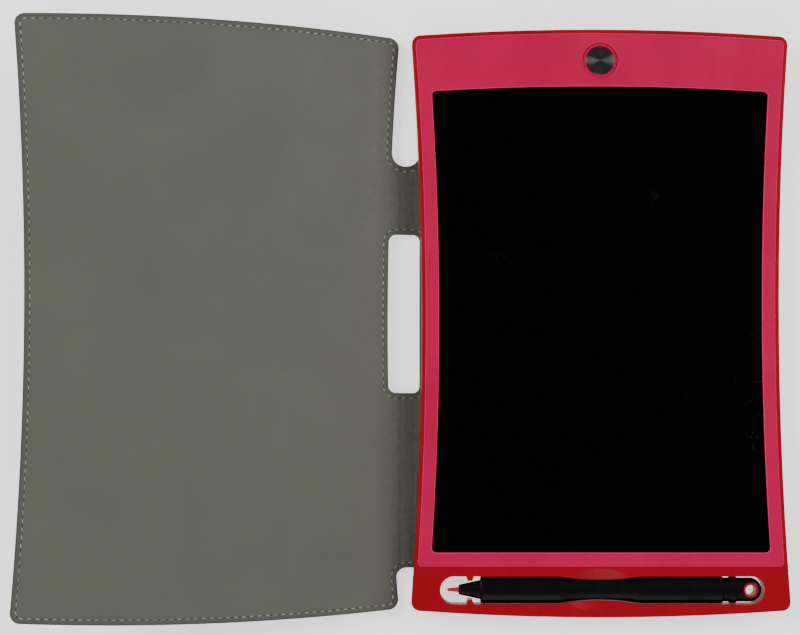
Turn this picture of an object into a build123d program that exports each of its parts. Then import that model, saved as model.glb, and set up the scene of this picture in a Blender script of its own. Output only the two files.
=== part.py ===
from build123d import *
import os
from math import cos, hypot, radians, sin

# Writing tablet with a pressure-sensitive liquid-crystal panel, in an open folio cover,
# with its stylus in the slot under the panel.
# Millimetres. X points right, Y up the page, Z out of the writing face. The origin is
# the middle of the tablet, on the surface that the folio's back panel lies on.

# ---------------------------------------------------------------- driving dimensions
# Tablet outline, between its unrounded corners
tablet_width = 142.6
tablet_height = 216.0
side_hollow = 4.06
end_crown = 2.66
corner_radius = 3.3

# Folio leaf, the same outline mirrored
cover_width = 142.5
cover_height = 216.5
cover_side_hollow = 4.4
cover_end_crown = 2.8
cover_corner_radius = 3.8
cover_gap = 4.0  # between the corners of the flat cover and of the tablet

# Leather, board and pad thicknesses
skin_thickness = 0.6
lining_thickness = 0.6
board_swell = 0.5  # how far the board lifts each face above the flat rim
board_thickness = 1.0
board_inset = 3.6  # from the leaf's edge to the board
swell_inset = 2.8  # from the leaf's edge to the start of the swell
pad_thickness = 0.4
pad_width = 108.0
pad_height = 164.0

# Spine bands and the openings between them, places along Y
upper_band_top = 59.5
upper_band_bottom = 33.4
lower_band_top = -26.7
lower_band_bottom = -92.8
slot_cover_radius = 3.0
slot_panel_radius = 2.5
lower_notch_radius = 3.5

# Back panel of the folio, inside the tablet's outline
panel_inset = 2.0
panel_left_edge = -68.0
panel_corner_radius = 3.0

# Folds: both turn about lines parallel to Y
fold_radius = 2.0
fold_clearance = 0.1
rest_fold_angle = 7.5  # degrees at each of the two folds
closed_clearance = 0.35  # from the bezel's face to the closed cover

# Rear case
case_thickness = 6.2
case_floor = 1.4
case_wall = 3.0
case_top_round = 0.5
case_bottom_round = 1.2
rim_width = 1.5
cavity_bottom = -90.0

# Bezel and the window in it
bezel_thickness = 1.55
bezel_proud = 0.15
bezel_bottom = -91.6
bezel_corner_radius = 1.5
bezel_chamfer = 0.25
bezel_lip = 0.8
window_half_width = 63.5
window_hollow = 2.8
window_top = 87.0
window_crown = 2.0
window_bottom = -86.4
window_radius = 1.7
tongue_places = [-45.0, 0.0, 45.0]
tongue_width = 12.0
tongue_reach = 1.0
tongue_thickness = 0.8

# Writing panel, gasket and backing plate
panel_overlap = 2.0
panel_thickness = 1.0
gasket_thickness = 0.15
gasket_width = 1.6
plate_thickness = 0.6
rib_thickness = 1.2
rib_places = [-64.0, -32.0, 0.0, 32.0, 64.0]
rib_length = 112.0

# Erase button
button_y = 98.8
button_hole_diameter = 13.1
plunger_diameter = 12.7
plunger_sink = 0.2
flange_diameter = 15.0
flange_thickness = 0.6
stem_diameter = 4.0
cap_diameter = 10.8
cap_thickness = 0.5
cap_proud = 0.05
button_travel = 0.35

# Circuit board
board_left = -34.0
board_right = 22.0
board_low = 92.5
board_high = 105.0
board_stock = 0.8
board_standoff = 0.5
dome_size = 6.0
dome_base = 0.3
dome_rise = 0.3
dome_diameter = 5.0
chip_x = -14.0
chip_y = 101.6
chip_size = (5.0, 3.9, 1.0)
chip_lead_count = 4
chip_lead_pitch = 1.27
connector_size = (12.0, 3.0, 0.9)
connector_y = 96.0
tail_width = 9.0
tail_thickness = 0.15

# Screws: self-tapping, from behind
screw_places = [(-60.0, 99.0), (-29.0, 99.0), (17.0, 99.0), (60.0, 99.0)]
screw_diameter = 1.8
screw_head_diameter = 3.8
screw_head_height = 0.8
screw_length = 3.2
screw_recess = 1.0
boss_diameter = 4.6

# Coin cell and its tray, which slides out of the top edge
cell_diameter = 20.0
cell_height = 1.6
cell_x = 38.5
cell_y = 95.5
tray_wall = 1.5  # beside the cell
tray_height = 2.1
tray_floor = 0.4
tray_pull_width = 5.0
tray_pull_reach = 0.6
tray_pull_height = 1.2
guide_thickness = 0.6
contact_thickness = 0.2

# Stylus and its slot
stylus_y = -100.5
stylus_radius = 5.1
stylus_thickness = 5.7
stylus_nose_x = -53.3
stylus_nose_radius = 1.9
stylus_shoulder_x = -45.2
stylus_shoulder_radius = 3.6
stylus_waist_x = -0.55
stylus_waist_length = 29.5
stylus_waist_radius = 3.75
stylus_neck_start = 46.1
stylus_neck_radius = 4.5
stylus_collar_start = 48.2
stylus_collar_end = 51.2
stylus_end_radius = 4.5
eyelet_x = 56.1
eyelet_radius = 1.95
eyelet_ring_radius = 2.8
eyelet_length = 5.0
nib_tip_x = -57.6
nib_base_radius = 1.0
nib_tip_radius = 0.5
nib_shank_radius = 0.6
nib_shank_length = 6.0
slot_left = -60.3
slot_right = 61.4
slot_half_width = 5.2
slot_waist_half_width = 3.85
nub_x = -49.1
nub_base = 2.8
nub_tip = 1.7
nub_height = 1.65
scoop_length = 27.0
scoop_width = 16.4
scoop_depth = 2.0

clearance = 0.05  # between pieces that are assembled by hand
bore_clearance = 0.02  # round a pin or ring that is pressed in

# ---------------------------------------------------------------- derived heights
rim_low = board_swell
rim_middle = rim_low + skin_thickness
rim_high = rim_middle + lining_thickness
leaf_thickness = rim_high + board_swell
leaf_middle = leaf_thickness / 2

case_low = leaf_thickness + pad_thickness
case_inside = case_low + case_floor
case_high = case_low + case_thickness
bezel_high = case_high + bezel_proud
bezel_low = bezel_high - bezel_thickness
lip_low = bezel_high - bezel_lip
panel_high = lip_low - gasket_thickness
panel_low = panel_high - panel_thickness
plate_low = panel_low - plate_thickness

board_z = case_inside + board_standoff
parts_z = board_z + board_stock
plunger_high = bezel_high - plunger_sink
flange_high = bezel_low - clearance
flange_low = flange_high - flange_thickness
stem_low = parts_z + dome_base + dome_rise + button_travel + clearance
cap_high = bezel_high + cap_proud
cap_low = cap_high - cap_thickness

tray_width = cell_diameter + 2 * tray_wall
tray_inner_end = cell_y - cell_diameter / 2 - tray_wall
tray_low = case_inside + clearance
tray_high = tray_low + tray_height
cell_low = tray_low + tray_floor
cell_high = cell_low + cell_height

stylus_high = bezel_high - clearance
stylus_z = stylus_high - stylus_thickness / 2
stylus_flatness = stylus_thickness / (2 * stylus_radius)

closed_leaf_middle = bezel_high + closed_clearance + leaf_middle

# The fold lines. The leather runs fold_radius below them when the folio is flat, and
# the spine between them reaches from the back panel to the closed cover.
fold_z = leaf_middle + fold_radius
spine_width = closed_leaf_middle - leaf_middle - 2 * fold_radius
spine_centre_x = -(tablet_width + cover_gap) / 2
tablet_fold_x = spine_centre_x + spine_width / 2
cover_fold_x = spine_centre_x - spine_width / 2
cover_centre_x = -(tablet_width + cover_width) / 2 - cover_gap


# ---------------------------------------------------------------- outlines
def waisted(width, height, hollow, crown, radius=0.0):
    """A face with hollow sides and crowned ends, rounded at its corners if asked."""
    x, y = width / 2, height / 2
    bottom = ThreePointArc((-x, -y), (0, -y - crown), (x, -y))
    right = ThreePointArc((x, -y), (x - hollow, 0), (x, y))
    top = ThreePointArc((x, y), (0, y + crown), (-x, y))
    left = ThreePointArc((-x, y), (-x + hollow, 0), (-x, -y))
    face = make_face([bottom, right, top, left])
    return fillet(face.vertices(), radius) if radius else face


def tablet_outline(inset):
    """The tablet's outline, moved inwards by inset."""
    corner = max(corner_radius - inset, 0.8)
    width = tablet_width - 2 * inset
    height = tablet_height - 2 * inset
    return waisted(width, height, side_hollow, end_crown, corner)


def cover_outline(inset):
    """The flat cover's outline, moved inwards by inset."""
    corner = max(cover_corner_radius - inset, 0.8)
    width = cover_width - 2 * inset
    height = cover_height - 2 * inset
    face = waisted(width, height, cover_side_hollow, cover_end_crown, corner)
    return Pos(cover_centre_x, 0) * face


def cover_edge_x(y):
    """X of the flat cover's edge next to the spine, at a height y up the page."""
    share = 1 - (2 * y / cover_height) ** 2
    return cover_centre_x + cover_width / 2 - cover_side_hollow * share


def tablet_end_y(x):
    """Y of the tablet's crowned top edge at x."""
    return tablet_height / 2 + end_crown * (1 - (2 * x / tablet_width) ** 2)


def half_plane(x_low, x_high, y_low, y_high):
    """A rectangle between two pairs of limits."""
    middle = ((x_low + x_high) / 2, (y_low + y_high) / 2)
    return Pos(*middle) * Rectangle(x_high - x_low, y_high - y_low)


def vertex_near(face, x, y):
    """The corner of a face that is nearest to a point."""
    return face.vertices().sort_by(lambda v: hypot(v.X - x, v.Y - y))[0]


def slab(face, low, high):
    """A face extruded from one height to another."""
    return extrude(Pos(0, 0, low) * face, high - low)


def block(x_low, x_high, y_low, y_high, z_low, z_high):
    """A box between three pairs of limits."""
    return slab(half_plane(x_low, x_high, y_low, y_high), z_low, z_high)


def pin(x, y, diameter, low, high):
    """An upright cylinder."""
    return Pos(x, y, (low + high) / 2) * Cylinder(diameter / 2, high - low)


def window_outline(grow, radius=None):
    """The bezel's window, moved outwards by grow."""
    x = window_half_width + grow
    low = window_bottom - grow
    high = window_top + grow
    middle = (low + high) / 2
    bottom = Line((-x, low), (x, low))
    right = ThreePointArc((x, low), (x - window_hollow, middle), (x, high))
    top = ThreePointArc((x, high), (0, high + window_crown), (-x, high))
    left = ThreePointArc((-x, high), (-x + window_hollow, middle), (-x, low))
    face = make_face([bottom, right, top, left])
    return fillet(face.vertices(), radius or window_radius)


def bezel_outline():
    """The inlaid bezel: the tablet's outline inside its rim, cut straight at the foot."""
    face = tablet_outline(rim_width) - half_plane(-100, 100, -150, bezel_bottom)
    feet = face.vertices().group_by(Axis.Y)[0]
    return fillet(feet, bezel_corner_radius)


def slot_outline():
    """The stylus slot, narrowed at the waist and with two nubs beside the nose."""
    length = slot_right - slot_left
    middle = (slot_left + slot_right) / 2
    face = Pos(middle, 0) * SlotOverall(length, 2 * slot_half_width)
    half = stylus_waist_length / 2
    for side in (-1, 1):
        wall = side * slot_half_width
        tip = side * slot_waist_half_width
        ends = (stylus_waist_x - half, wall), (stylus_waist_x + half, wall)
        bulge = ThreePointArc(ends[0], (stylus_waist_x, tip), ends[1])
        face -= make_face([bulge, Line(ends[1], ends[0])])
        inner = side * (slot_half_width - nub_height)
        outer = side * (slot_half_width + 0.5)
        nub = Polyline(
            (nub_x - nub_base / 2, outer),
            (nub_x - nub_base / 2, wall),
            (nub_x - nub_tip / 2, inner),
            (nub_x + nub_tip / 2, inner),
            (nub_x + nub_base / 2, wall),
            (nub_x + nub_base / 2, outer),
            close=True,
        )
        face -= make_face(nub)
    return Pos(0, stylus_y) * face


# ---------------------------------------------------------------- the tablet's shell
def make_rear_case():
    """Tray-shaped case with the stylus slot through its foot."""
    case = slab(tablet_outline(0), case_low, case_high)
    case = fillet(case.faces().sort_by(Axis.Z)[-1].edges(), case_top_round)
    case = fillet(case.faces().sort_by(Axis.Z)[0].edges(), case_bottom_round)
    cavity = tablet_outline(case_wall) - half_plane(-100, 100, -150, cavity_bottom)
    case -= slab(cavity, case_inside, bezel_low)
    case -= slab(bezel_outline(), bezel_low, case_high)
    case -= slab(slot_outline(), case_low - 1, case_high + 1)

    # Finger scoops: one shallow oval dish across the slot's waist
    half = scoop_length / 2
    dish_radius = (half**2 + scoop_depth**2) / (2 * scoop_depth)
    dish = scale(Sphere(dish_radius), by=(1, scoop_width / scoop_length, 1))
    dish_z = case_high + dish_radius - scoop_depth
    case -= Pos(stylus_waist_x, stylus_y, dish_z) * dish

    # Pockets for the bezel's tongues
    for x in tongue_places:
        half = tongue_width / 2 + clearance
        foot = bezel_bottom - tongue_reach - clearance
        case -= block(x - half, x + half, foot, bezel_bottom, bezel_low, bezel_low + tongue_thickness)

    # Ribs under the backing plate
    for y in rib_places:
        half = rib_thickness / 2
        reach = rib_length / 2
        case += block(-reach, reach, y - half, y + half, case_inside, plate_low)

    # Bosses and screw holes
    for x, y in screw_places:
        top = board_z if board_left < x < board_right else parts_z
        case += pin(x, y, boss_diameter, case_inside, top)
    for x, y in screw_places:
        case -= pin(x, y, screw_head_diameter + 0.4, case_low, case_low + screw_recess)
        case -= pin(x, y, screw_diameter + 0.2, case_low, parts_z)

    # Opening and guides of the battery tray
    half = tray_width / 2 + clearance
    outside = tablet_end_y(0) + 5
    case -= block(
        cell_x - half, cell_x + half, cell_y, outside, case_inside, tray_high + clearance
    )
    for side in (-1, 1):
        inner = cell_x + side * half
        outer = inner + side * guide_thickness
        x_low, x_high = min(inner, outer), max(inner, outer)
        case += block(x_low, x_high, tray_inner_end, cell_y + 6, case_inside, tray_high)
    return case


def make_bezel():
    """Inlaid front frame with the window, the button hole, bosses and tongues."""
    bezel = slab(bezel_outline(), bezel_low, bezel_high)
    bezel = chamfer(bezel.faces().sort_by(Axis.Z)[-1].edges(), bezel_chamfer)
    bezel -= slab(window_outline(0), bezel_low, bezel_high)
    bezel -= slab(window_outline(panel_overlap + clearance, 2.0), bezel_low, lip_low)
    top = bezel.faces().sort_by(Axis.Z)[-1]
    bezel = chamfer(top.inner_wires()[0].edges(), bezel_chamfer)
    bezel -= pin(0, button_y, button_hole_diameter, bezel_low, bezel_high)
    for x, y in screw_places:
        bezel += pin(x, y, boss_diameter, parts_z, bezel_low)
        hole = screw_diameter + 2 * bore_clearance
        top_of_hole = case_low + screw_recess + screw_length + 0.2
        bezel -= pin(x, y, hole, parts_z, top_of_hole)
    for x in tongue_places:
        half = tongue_width / 2
        foot = bezel_bottom - tongue_reach
        bezel += block(
            x - half, x + half, foot, bezel_bottom + 1, bezel_low, bezel_low + tongue_thickness - clearance
        )
    return bezel


def make_display():
    """The writing panel, the gasket over its edge and the plate behind it."""
    outline = window_outline(panel_overlap, 2.0)
    panel = slab(outline, panel_low, panel_high)
    ring = outline - window_outline(panel_overlap - gasket_width)
    gasket = slab(ring, panel_high, lip_low)
    tail_edge = window_top + panel_overlap
    plate_face = outline - half_plane(-100, 100, tail_edge - 1.0, tail_edge + 10)
    plate = slab(plate_face, plate_low, panel_low)
    return panel, gasket, plate


# ---------------------------------------------------------------- electronics
def make_circuit_board():
    """The board under the button, with two screw holes."""
    board = block(board_left, board_right, board_low, board_high, board_z, parts_z)
    board = fillet(board.edges().filter_by(Axis.Z), 1.0)
    for x, y in screw_places:
        if board_left < x < board_right:
            board -= pin(x, y, screw_diameter + 0.4, board_z, parts_z)
    return board


def make_dome_switch():
    """A low square switch with a snap dome."""
    half = dome_size / 2
    base_high = parts_z + dome_base
    base = block(-half, half, button_y - half, button_y + half, parts_z, base_high)
    base = fillet(base.edges().filter_by(Axis.Z), 0.6)
    ball_radius = ((dome_diameter / 2) ** 2 + dome_rise**2) / (2 * dome_rise)
    ball = Pos(0, button_y, base_high + dome_rise - ball_radius) * Sphere(ball_radius)
    cap = ball & pin(0, button_y, dome_diameter + 1, base_high, base_high + dome_rise)
    return base + cap


def make_chip():
    """The controller, with leads along both long sides."""
    length, width, height = chip_size
    chip = block(
        chip_x - length / 2,
        chip_x + length / 2,
        chip_y - width / 2,
        chip_y + width / 2,
        parts_z + 0.1,
        parts_z + height,
    )
    for i in range(chip_lead_count):
        x = chip_x + (i - (chip_lead_count - 1) / 2) * chip_lead_pitch
        reach = width / 2 + 0.9
        chip += block(x - 0.2, x + 0.2, chip_y - reach, chip_y + reach, parts_z, parts_z + 0.2)
    return chip


def make_connector_and_tail():
    """The panel's flexible tail and the connector that it ends in."""
    length, depth, height = connector_size
    front = connector_y - depth / 2
    connector = block(
        chip_x - length / 2,
        chip_x + length / 2,
        front,
        connector_y + depth / 2,
        parts_z,
        parts_z + height,
    )
    half = tail_thickness / 2
    start = window_top + panel_overlap - 0.6
    high = panel_low - half
    low = parts_z + height / 2
    path = [(start, high), (start + 2.2, high), (front - 0.8, low), (front, low)]
    upper = [(y, z + half) for y, z in path]
    lower = [(y, z - half) for y, z in reversed(path)]
    section = make_face(Polyline(*upper, *lower, close=True))
    tail = Plane.YZ.offset(chip_x - tail_width / 2) * section
    return connector, extrude(tail, tail_width)


def make_contacts():
    """Spring strips to the top and to the rim of the coin cell."""
    thick = contact_thickness
    tray_left = cell_x - tray_width / 2
    low = parts_z
    high = tray_high + clearance
    points = [(board_right - 3, low), (board_right, low), (tray_left - 1, high), (cell_x, high)]
    upper = [(x, z + thick) for x, z in reversed(points)]
    section = make_face(Polyline(*points, *upper, close=True))
    strip = Plane.XZ.offset(-(cell_y - 2.0)) * section
    top_contact = extrude(strip, 3.0)

    back = tray_inner_end - 1.0
    finger_z = cell_low + cell_height / 2
    rim_contact = block(board_right - 2, cell_x + 3, back - 1, back, case_inside, case_inside + thick)
    rim_contact += block(
        board_right - 2, board_right, back - 1, board_low + 1, case_inside, case_inside + thick
    )
    rim_contact += block(
        board_right - 2, board_right, board_low + 0.2, board_low + 1, case_inside, board_z
    )
    rim_contact += block(cell_x - 3, cell_x + 3, back - thick, back, case_inside, finger_z + thick)
    finger_end = cell_y - cell_diameter / 2 - clearance
    rim_contact += block(cell_x - 3, cell_x + 3, back - thick, finger_end, finger_z, finger_z + thick)
    return top_contact, rim_contact


def make_screws():
    """Four identical screws with cross recesses."""
    head_high = case_low + screw_recess
    head_low = head_high - screw_head_height
    group = []
    for x, y in screw_places:
        screw = pin(x, y, screw_head_diameter, head_low, head_high)
        screw = chamfer(screw.faces().sort_by(Axis.Z)[0].edges(), 0.2)
        screw += pin(x, y, screw_diameter, head_high, head_high + screw_length)
        for turn in (0, 90):
            bar = Pos(x, y, head_low + 0.2) * Rot(0, 0, turn) * Box(2.2, 0.45, 0.4)
            screw -= bar
        group.append(screw)
    return group


# ---------------------------------------------------------------- moving pieces
def make_button():
    """The plunger that closes the switch, and the metal disc let into it."""
    plunger = pin(0, button_y, plunger_diameter, flange_high, plunger_high)
    plunger = chamfer(plunger.faces().sort_by(Axis.Z)[-1].edges(), 0.2)
    plunger += pin(0, button_y, flange_diameter, flange_low, flange_high)
    plunger += pin(0, button_y, stem_diameter, stem_low, flange_low)
    plunger -= pin(0, button_y, cap_diameter + 2 * bore_clearance, cap_low, plunger_high)
    cap = pin(0, button_y, cap_diameter, cap_low, cap_high)
    cap = chamfer(cap.faces().sort_by(Axis.Z)[-1].edges(), 0.2)
    # A shallow spherical dish in the disc's face
    dish_radius = 60.0
    dish_depth = 0.12
    cap -= Pos(0, button_y, cap_high + dish_radius - dish_depth) * Sphere(dish_radius)
    return plunger, cap


def make_tray_and_cell():
    """The battery tray, whose outer end follows the tablet's edge, and its coin cell."""
    half = tray_width / 2
    outside = tablet_end_y(0) + 5
    sweep = half_plane(cell_x - half, cell_x + half, tray_inner_end, outside)
    tray = slab(sweep & tablet_outline(clearance), tray_low, tray_high)
    pocket = cell_diameter + 4 * clearance
    tray -= pin(cell_x, cell_y, pocket, cell_low, tray_high)
    tray -= pin(cell_x, cell_y, cell_diameter - 5, tray_low, cell_low)
    tray -= block(cell_x - 4, cell_x + 4, tray_inner_end, cell_y - 7, tray_low, tray_high)
    end = tablet_end_y(cell_x)
    middle = (tray_low + tray_high) / 2
    pull = block(
        cell_x - tray_pull_width / 2,
        cell_x + tray_pull_width / 2,
        end - 1.0,
        end + tray_pull_reach,
        middle - tray_pull_height / 2,
        middle + tray_pull_height / 2,
    )
    tray += fillet(pull.faces().sort_by(Axis.Y)[-1].edges(), 0.25)

    step = 0.3
    can = pin(cell_x, cell_y, cell_diameter, cell_low, cell_high - step)
    can = fillet(can.faces().sort_by(Axis.Z)[0].edges(), 0.25)
    lid = pin(cell_x, cell_y, cell_diameter - 2.4, cell_high - step, cell_high)
    lid = fillet(lid.faces().sort_by(Axis.Z)[-1].edges(), 0.15)
    return tray, can + lid


def make_stylus():
    """The flattened barrel, its nib and the ring round its lanyard hole."""
    half = stylus_waist_length / 2
    waist_start = (stylus_waist_x - half, stylus_radius)
    waist_end = (stylus_waist_x + half, stylus_radius)
    waist_middle = (stylus_waist_x, stylus_waist_radius)
    edge = 0.5
    nose = Polyline(
        (stylus_nose_x, 0),
        (stylus_nose_x, stylus_nose_radius - 0.3),
        (stylus_nose_x + 0.3, stylus_nose_radius),
        (stylus_shoulder_x, stylus_shoulder_radius),
        (stylus_shoulder_x, stylus_radius - edge),
        (stylus_shoulder_x + edge, stylus_radius),
        waist_start,
    )
    waist = ThreePointArc(waist_start, waist_middle, waist_end)
    collar = Polyline(
        waist_end,
        (stylus_neck_start - edge, stylus_radius),
        (stylus_neck_start, stylus_neck_radius),
        (stylus_collar_start, stylus_neck_radius),
        (stylus_collar_start, stylus_radius - edge / 2),
        (stylus_collar_start + edge, stylus_radius),
        (stylus_collar_end - edge, stylus_radius),
        (stylus_collar_end, stylus_end_radius),
        (eyelet_x, stylus_end_radius),
    )
    tip = eyelet_x + stylus_end_radius
    arc_middle = (
        eyelet_x + stylus_end_radius * sin(radians(45)),
        stylus_end_radius * cos(radians(45)),
    )
    end = ThreePointArc((eyelet_x, stylus_end_radius), arc_middle, (tip, 0))
    axis_line = Line((tip, 0), (stylus_nose_x, 0))
    profile = make_face([*nose.edges(), waist, *collar.edges(), end, axis_line])
    barrel = revolve(profile, Axis.X)
    barrel = scale(barrel, by=(1, 1, stylus_flatness))
    barrel -= Pos(eyelet_x, 0, 0) * Cylinder(eyelet_ring_radius + bore_clearance, 20)
    shank = nib_shank_length + 0.2
    bore = Cylinder(nib_shank_radius + bore_clearance, shank)
    barrel -= Pos(stylus_nose_x + shank / 2, 0, 0) * Rot(0, 90, 0) * bore

    ring = Cylinder(eyelet_ring_radius, eyelet_length) - Cylinder(eyelet_radius, eyelet_length)
    ring = chamfer(ring.edges().filter_by(GeomType.CIRCLE), 0.2)
    ring = Pos(eyelet_x, 0, 0) * ring

    reach = stylus_nose_x - nib_tip_x
    cone = Cone(nib_base_radius, nib_tip_radius, reach)
    cone = fillet(cone.faces().sort_by(Axis.Z)[-1].edges(), nib_tip_radius * 0.8)
    nib = Pos(stylus_nose_x - reach / 2, 0, 0) * Rot(0, -90, 0) * cone
    pin_shape = Cylinder(nib_shank_radius, nib_shank_length)
    nib += Pos(stylus_nose_x + nib_shank_length / 2, 0, 0) * Rot(0, 90, 0) * pin_shape

    place = Pos(0, stylus_y, stylus_z)
    return place * barrel, place * nib, place * ring


# ---------------------------------------------------------------- the folio
def panel_outline(inset=0.0):
    """The back panel, straight beside the spine and above the stylus slot."""
    left, foot = panel_left_edge + inset, lower_band_bottom + inset
    width = tablet_width - 2 * (panel_inset + inset)
    height = tablet_height - 2 * (panel_inset + inset)
    face = waisted(width, height, side_hollow, end_crown)
    face += half_plane(left - 1, 0, foot, height / 2 - 15)
    face -= half_plane(-100, left, -150, 150)
    face -= half_plane(-100, 100, -150, foot)
    for x, y in ((width / 2, foot), (width / 2, height / 2), (left, height / 2)):
        face = fillet(vertex_near(face, x, y), panel_corner_radius)
    return face


def upper_notch():
    """Centre and radius of the round-bottomed notch above the upper band."""
    left = cover_edge_x(upper_band_top)
    radius = (panel_left_edge - left) / 2
    return (panel_left_edge + left) / 2, upper_band_top + radius, radius


def folio_outline():
    """The whole folio laid flat: cover, two bands, back panel and their openings."""
    inside_cover = cover_edge_x(0) - 2
    inside_panel = panel_left_edge + 1
    notch_x, notch_y, notch_radius = upper_notch()
    face = cover_outline(0) + panel_outline()
    face += half_plane(inside_cover, inside_panel, upper_band_bottom, notch_y)
    face += half_plane(inside_cover, inside_panel, lower_band_bottom, lower_band_top)
    face -= Pos(notch_x, notch_y) * Circle(notch_radius)
    for y in (upper_band_bottom, lower_band_top):
        face = fillet(vertex_near(face, cover_edge_x(y), y), slot_cover_radius)
        face = fillet(vertex_near(face, panel_left_edge, y), slot_panel_radius)
    corner = vertex_near(face, cover_edge_x(lower_band_bottom), lower_band_bottom)
    return fillet(corner, lower_notch_radius)


def swell(outline, low, high):
    """The raised middle of a leaf, chamfered on the face away from the rim."""
    solid = slab(outline, low, high)
    side = -1 if high > rim_middle else 0
    return chamfer(solid.faces().sort_by(Axis.Z)[side].edges(), board_swell * 0.8)


def make_leaf(rim_face, swell_face, board_face):
    """Skin, board and lining of one stiff leaf, laid flat."""
    middle = (skin_thickness + lining_thickness) / 2 + rim_low
    board = slab(board_face, middle - board_thickness / 2, middle + board_thickness / 2)
    skin = slab(rim_face, rim_low, rim_middle) + swell(swell_face, 0, rim_low)
    lining = slab(rim_face, rim_middle, rim_high)
    lining += swell(swell_face, rim_high, leaf_thickness)
    return skin - board, board, lining - board


def fold_about(x, z, angle):
    """A turn about a line parallel to Y through (x, z)."""
    return Pos(x, 0, z) * Rot(0, angle, 0) * Pos(-x, 0, -z)


def make_folio():
    """Every piece of the folio, folded as it rests."""
    flat = folio_outline()
    half = fold_clearance / 2
    bands_high = upper_notch()[1]
    bands_middle = (lower_band_top + upper_band_bottom) / 2
    spine_left, spine_right = cover_fold_x + half, tablet_fold_x - half
    cover_face = flat & half_plane(-400, spine_centre_x, -150, 150)
    cover_face -= half_plane(
        cover_fold_x - half, spine_centre_x, lower_band_bottom, bands_high
    )
    back_face = flat & half_plane(tablet_fold_x + half, 100, -150, 150)
    upper_face = flat & half_plane(spine_left, spine_right, bands_middle, bands_high)
    lower_face = flat & half_plane(
        spine_left, spine_right, lower_band_bottom, bands_middle
    )
    back = make_leaf(back_face, panel_outline(swell_inset), panel_outline(board_inset))
    cover = make_leaf(cover_face, cover_outline(swell_inset), cover_outline(board_inset))

    turn_spine = fold_about(tablet_fold_x, fold_z, rest_fold_angle)
    turn_cover = turn_spine * fold_about(cover_fold_x, fold_z, rest_fold_angle)
    pieces = {
        "back_skin": back[0],
        "back_board": back[1],
        "back_lining": back[2],
        "cover_skin": turn_cover * cover[0],
        "cover_board": turn_cover * cover[1],
        "cover_lining": turn_cover * cover[2],
    }
    for name, face in (("upper", upper_face), ("lower", lower_face)):
        pieces["spine_skin_" + name] = turn_spine * slab(face, rim_low, rim_middle)
        pieces["spine_lining_" + name] = turn_spine * slab(face, rim_middle, rim_high)
    pad_face = half_plane(-pad_width / 2, pad_width / 2, -pad_height / 2, pad_height / 2)
    pad = slab(fillet(pad_face.vertices(), 6.0), leaf_thickness, case_low)
    pieces["mounting_pad"] = pad
    return pieces


# ---------------------------------------------------------------- assembly
def make_model():
    """All nodes by name."""
    nodes = {"rear_case": make_rear_case(), "front_bezel": make_bezel()}
    nodes["writing_panel"], nodes["panel_gasket"], nodes["backing_plate"] = make_display()
    nodes["circuit_board"] = make_circuit_board()
    nodes["dome_switch"] = make_dome_switch()
    nodes["controller_chip"] = make_chip()
    nodes["tail_connector"], nodes["panel_tail"] = make_connector_and_tail()
    nodes["cell_top_contact"], nodes["cell_rim_contact"] = make_contacts()
    nodes["case_screws"] = make_screws()
    nodes["button_plunger"], nodes["button_cap"] = make_button()
    nodes["battery_tray"], nodes["coin_cell"] = make_tray_and_cell()
    nodes["stylus_barrel"], nodes["stylus_nib"], nodes["stylus_eyelet"] = make_stylus()
    nodes.update(make_folio())
    return nodes


os.makedirs("parts", exist_ok=True)
for node, shape in make_model().items():
    solids = [s for piece in (shape if isinstance(shape, list) else [shape]) for s in piece.solids()]
    export_step(Compound(children=solids) if len(solids) > 1 else solids[0], f"parts/{node}.step")
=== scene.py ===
"""Looks of a liquid-crystal writing tablet that lies in its open folio cover."""
import logging
import math
from dataclasses import dataclass, field
from enum import Enum
from typing import Sequence

import bpy
import numpy as np
from mathutils import Matrix, Vector
from mathutils.geometry import delaunay_2d_cdt


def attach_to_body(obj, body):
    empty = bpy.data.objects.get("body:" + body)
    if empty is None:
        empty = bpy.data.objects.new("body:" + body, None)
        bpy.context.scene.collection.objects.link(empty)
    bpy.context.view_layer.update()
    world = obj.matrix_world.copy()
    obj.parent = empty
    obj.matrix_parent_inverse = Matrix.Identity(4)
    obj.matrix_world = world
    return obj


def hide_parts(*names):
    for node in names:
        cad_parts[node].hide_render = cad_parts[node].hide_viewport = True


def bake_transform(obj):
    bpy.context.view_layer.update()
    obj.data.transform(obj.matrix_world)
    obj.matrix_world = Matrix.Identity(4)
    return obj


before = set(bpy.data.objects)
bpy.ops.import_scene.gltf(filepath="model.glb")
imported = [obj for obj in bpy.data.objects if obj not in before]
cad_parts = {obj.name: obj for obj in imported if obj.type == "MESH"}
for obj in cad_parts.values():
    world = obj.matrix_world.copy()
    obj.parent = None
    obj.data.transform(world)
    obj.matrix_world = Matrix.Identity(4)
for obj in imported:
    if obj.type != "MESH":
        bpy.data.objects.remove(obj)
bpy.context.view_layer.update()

MM = 0.001
# Distances that differ by less than this count as equal
TOUCH = 0.02 * MM
# Points closer together than this count as one
SAME_POINT = 1e-6
# How finely the rounded corners of an outline are divided
ARC_STEP = 0.35 * MM
FEWEST_ARC_POINTS = 5
LOG = logging.getLogger("writing_tablet")

Colour = tuple[float, float, float]
Loop = np.ndarray


# ---------------------------------------------------------------------------
# Small tools
# ---------------------------------------------------------------------------
def srgb(red: int, green: int, blue: int) -> Colour:
    """Turns display values into linear light.

    Args:
        red, green, blue: display values from 0 to 255.

    Returns:
        The same colour in linear light.
    """
    def linear(value: int) -> float:
        """One channel in linear light."""
        share = value / 255
        return share / 12.92 if share <= 0.04045 else ((share + 0.055) / 1.055) ** 2.4

    return linear(red), linear(green), linear(blue)


def smooth(share: np.ndarray) -> np.ndarray:
    """An ease from 0 to 1 as share goes from 0 to 1."""
    t = np.clip(share, 0.0, 1.0)
    return t * t * (3 - 2 * t)


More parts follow.
